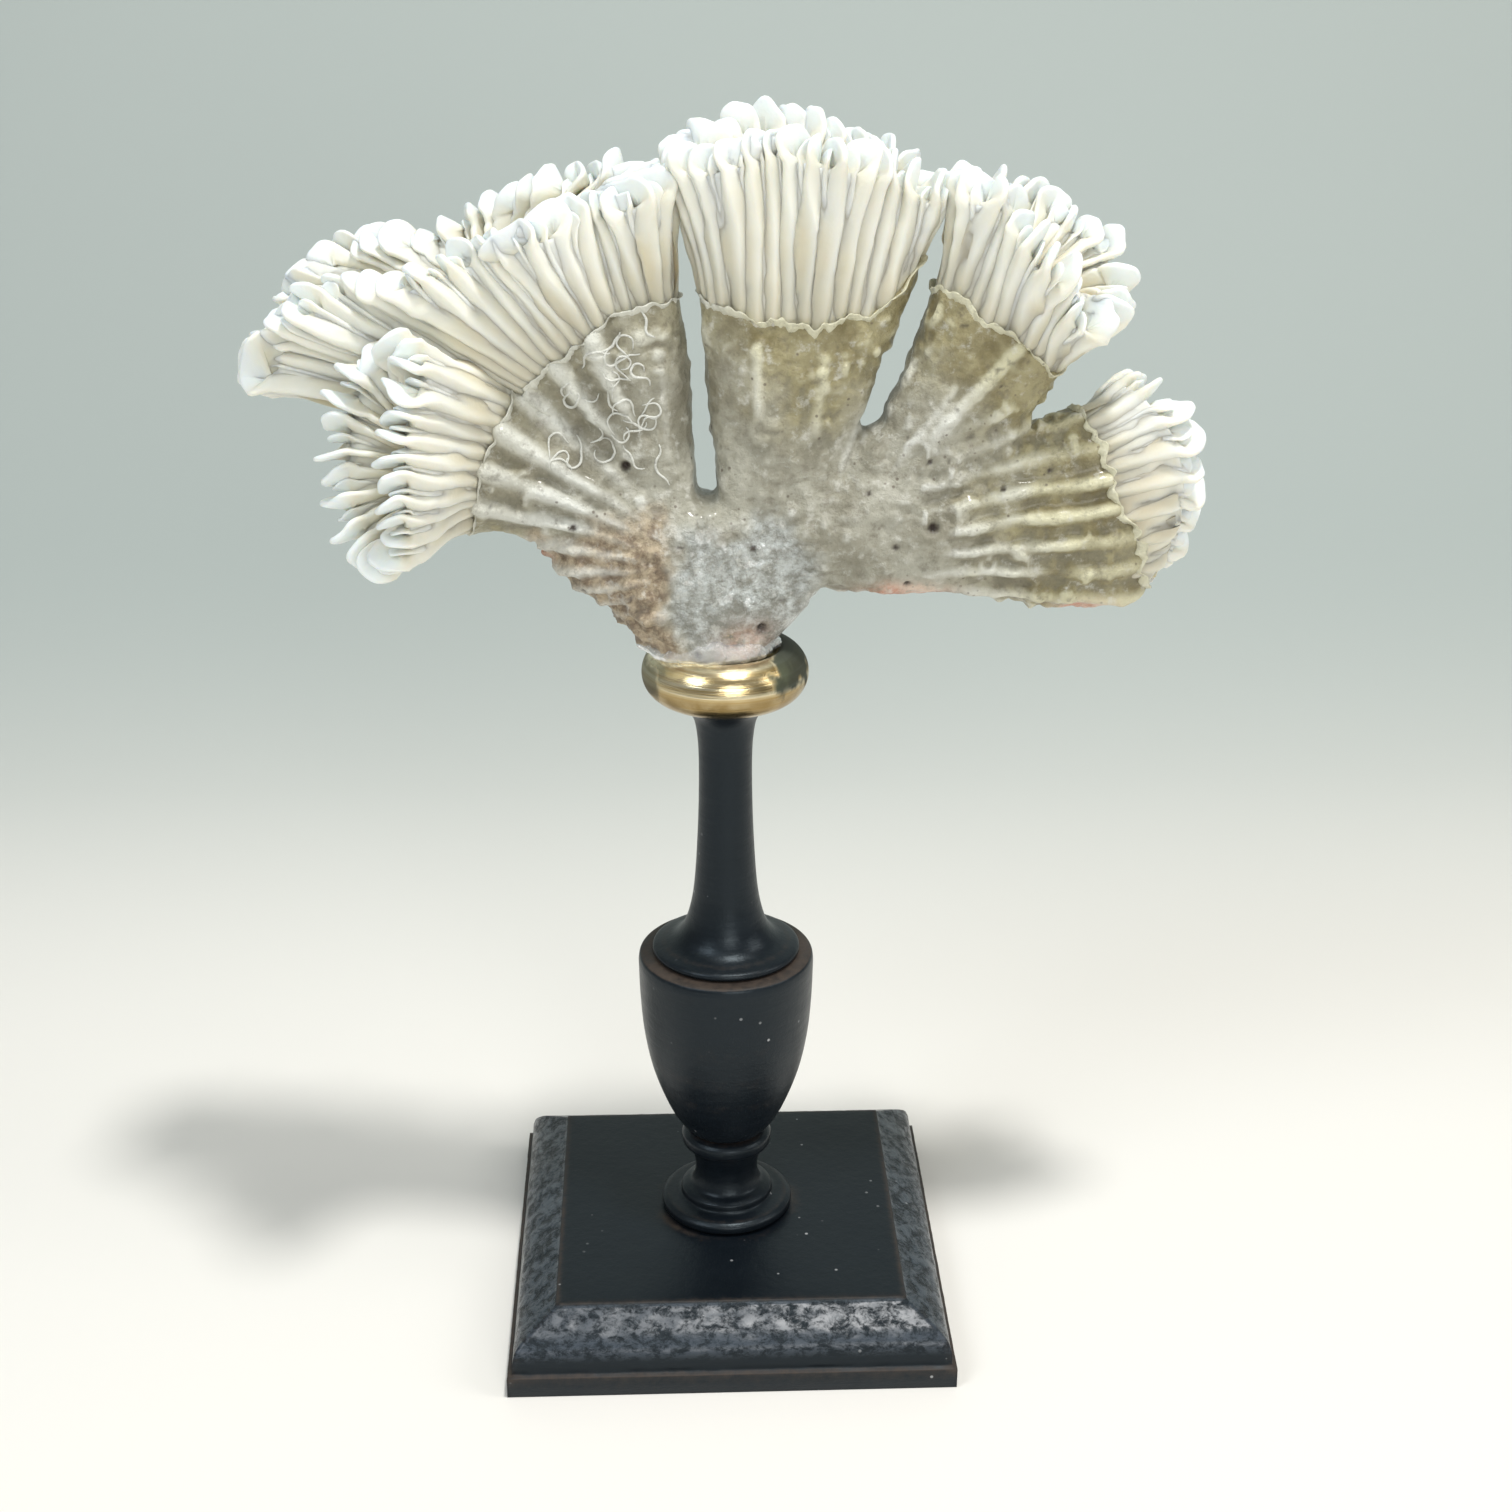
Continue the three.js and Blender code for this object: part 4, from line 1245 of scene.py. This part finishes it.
def makeCollar(brass):
    low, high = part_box("brass_collar")
    radius, height = high[0], high[2] - low[2]
    bead = height / 2
    profile = [(0, low[2]), (radius - bead, low[2])]
    for i in range(1, collar["beadSteps"] + 1):
        angle = math.radians(-90 + collar["beadDegrees"] * i / collar["beadSteps"])
        profile.append((radius - bead + bead * math.cos(angle), low[2] + bead + bead * math.sin(angle)))
    profile += [(r * mm, high[2] - down * mm) for r, down in collar["dish"]]
    heights = (np.array([z for _, z in profile]) - low[2]) / height
    # the mask marks the bun's lower half for painted shade and painted reflection of the black stand below
    piece = latheMesh("brass_collar_polished", profile, 180, smoothStep(0.62, 0.38, heights))
    spots = readPoints(piece.data)
    patchy = layeredNoise(spots, 3 * mm, 4) * 0.35
    right, down = spots[:, 0] / mm, (high[2] - spots[:, 2]) / mm
    near, far = (np.hypot((right - x) / width, (down - drop) / tall) + patchy
                 for x, drop, width, tall in collar["tarnish"])
    dull = np.maximum(smoothStep(1.15, 0.85, near), 0.75 * smoothStep(1.2, 0.7, far))
    writeMasks(piece.data, {"tarnish": dull})
    finishPiece(piece, brass, "polished_brass", "brass_collar")


def makeGlue(glue):
    # a low wavy skirt of clear glue round the coral's foot
    low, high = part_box("glue_skirt")
    turns = np.linspace(0, 2 * math.pi, 120, endpoint=False)
    centre = np.array([(low[0] + high[0]) / 2, 0])
    half = np.array([(high[0] - low[0]) / 2, (high[1] - low[1]) / 2])
    circle = np.stack([np.cos(turns), np.sin(turns)], -1)
    wobble = layeredNoise(np.concatenate([circle * 3, circle[:, :1] * 0], 1), 1.0, 7)
    section = ((0.72, 0.25), (0.95, 0.3), (1.04, 0.45), (1.05, 0.62), (0.97, 0.85), (0.84, 1.2), (0.66, 1.0))
    rows = []
    for reach, up in section:
        spread = reach * (1 + 0.06 * wobble)
        z = low[2] + (high[2] - low[2]) * up * (1 + 0.12 * np.roll(wobble, 31) * up)
        flat = centre + circle * half * spread[:, None]
        rows.append(np.concatenate([flat, z[:, None]], axis=1))
    points = np.stack(rows, axis=1).reshape(-1, 3)
    piece = makeMesh("glue_skirt_clear", points, wheelFaces(len(turns), len(section)))
    finishPiece(piece, glue, "clear_glue", "glue_skirt")


makeCamera()
makeLights()
makeFloor()
print("studio ready")

septaWhite = makeSeptaMaterial()
wallGrey = makeWallMaterial()
blackPaint = makePaintMaterial()
brass = makeBrassMaterial()
clearGlue = makeGlueMaterial()
print("materials ready")

makeStem(blackPaint)
makePlinth(blackPaint)
makeCollar(brass)
makeGlue(clearGlue)
print("stand ready")

lobes = {"foot": Lobe(footSpec)}
lobes.update({name: Lobe(spec) for name, spec in branches.items()})
solids = list(enumerate(lobes.values())) + [(list(lobes).index("rightCentre"), Lobe(webSpec))]
wallBody, wallOwners, wallClimb = fuseWalls(solids)
shapeWalls(wallBody, wallClimb)
makeWormTubes(wallBody, wallGrey)
splitWalls(wallBody, wallOwners, list(lobes), wallGrey)
print("dead walls ready")

for branchName in branches:
    makeCalice(branchName, lobes[branchName], septaWhite)
    makeCrustEdge(branchName, lobes[branchName], wallGrey)
    print("branch ready:", branchName)

triangles = {piece.name: sum(len(face.vertices) - 2 for face in piece.data.polygons)
             for piece in bpy.data.objects if piece.type == "MESH"}
print("triangles in all:", sum(triangles.values()), "most in one piece:", max(triangles.values()))
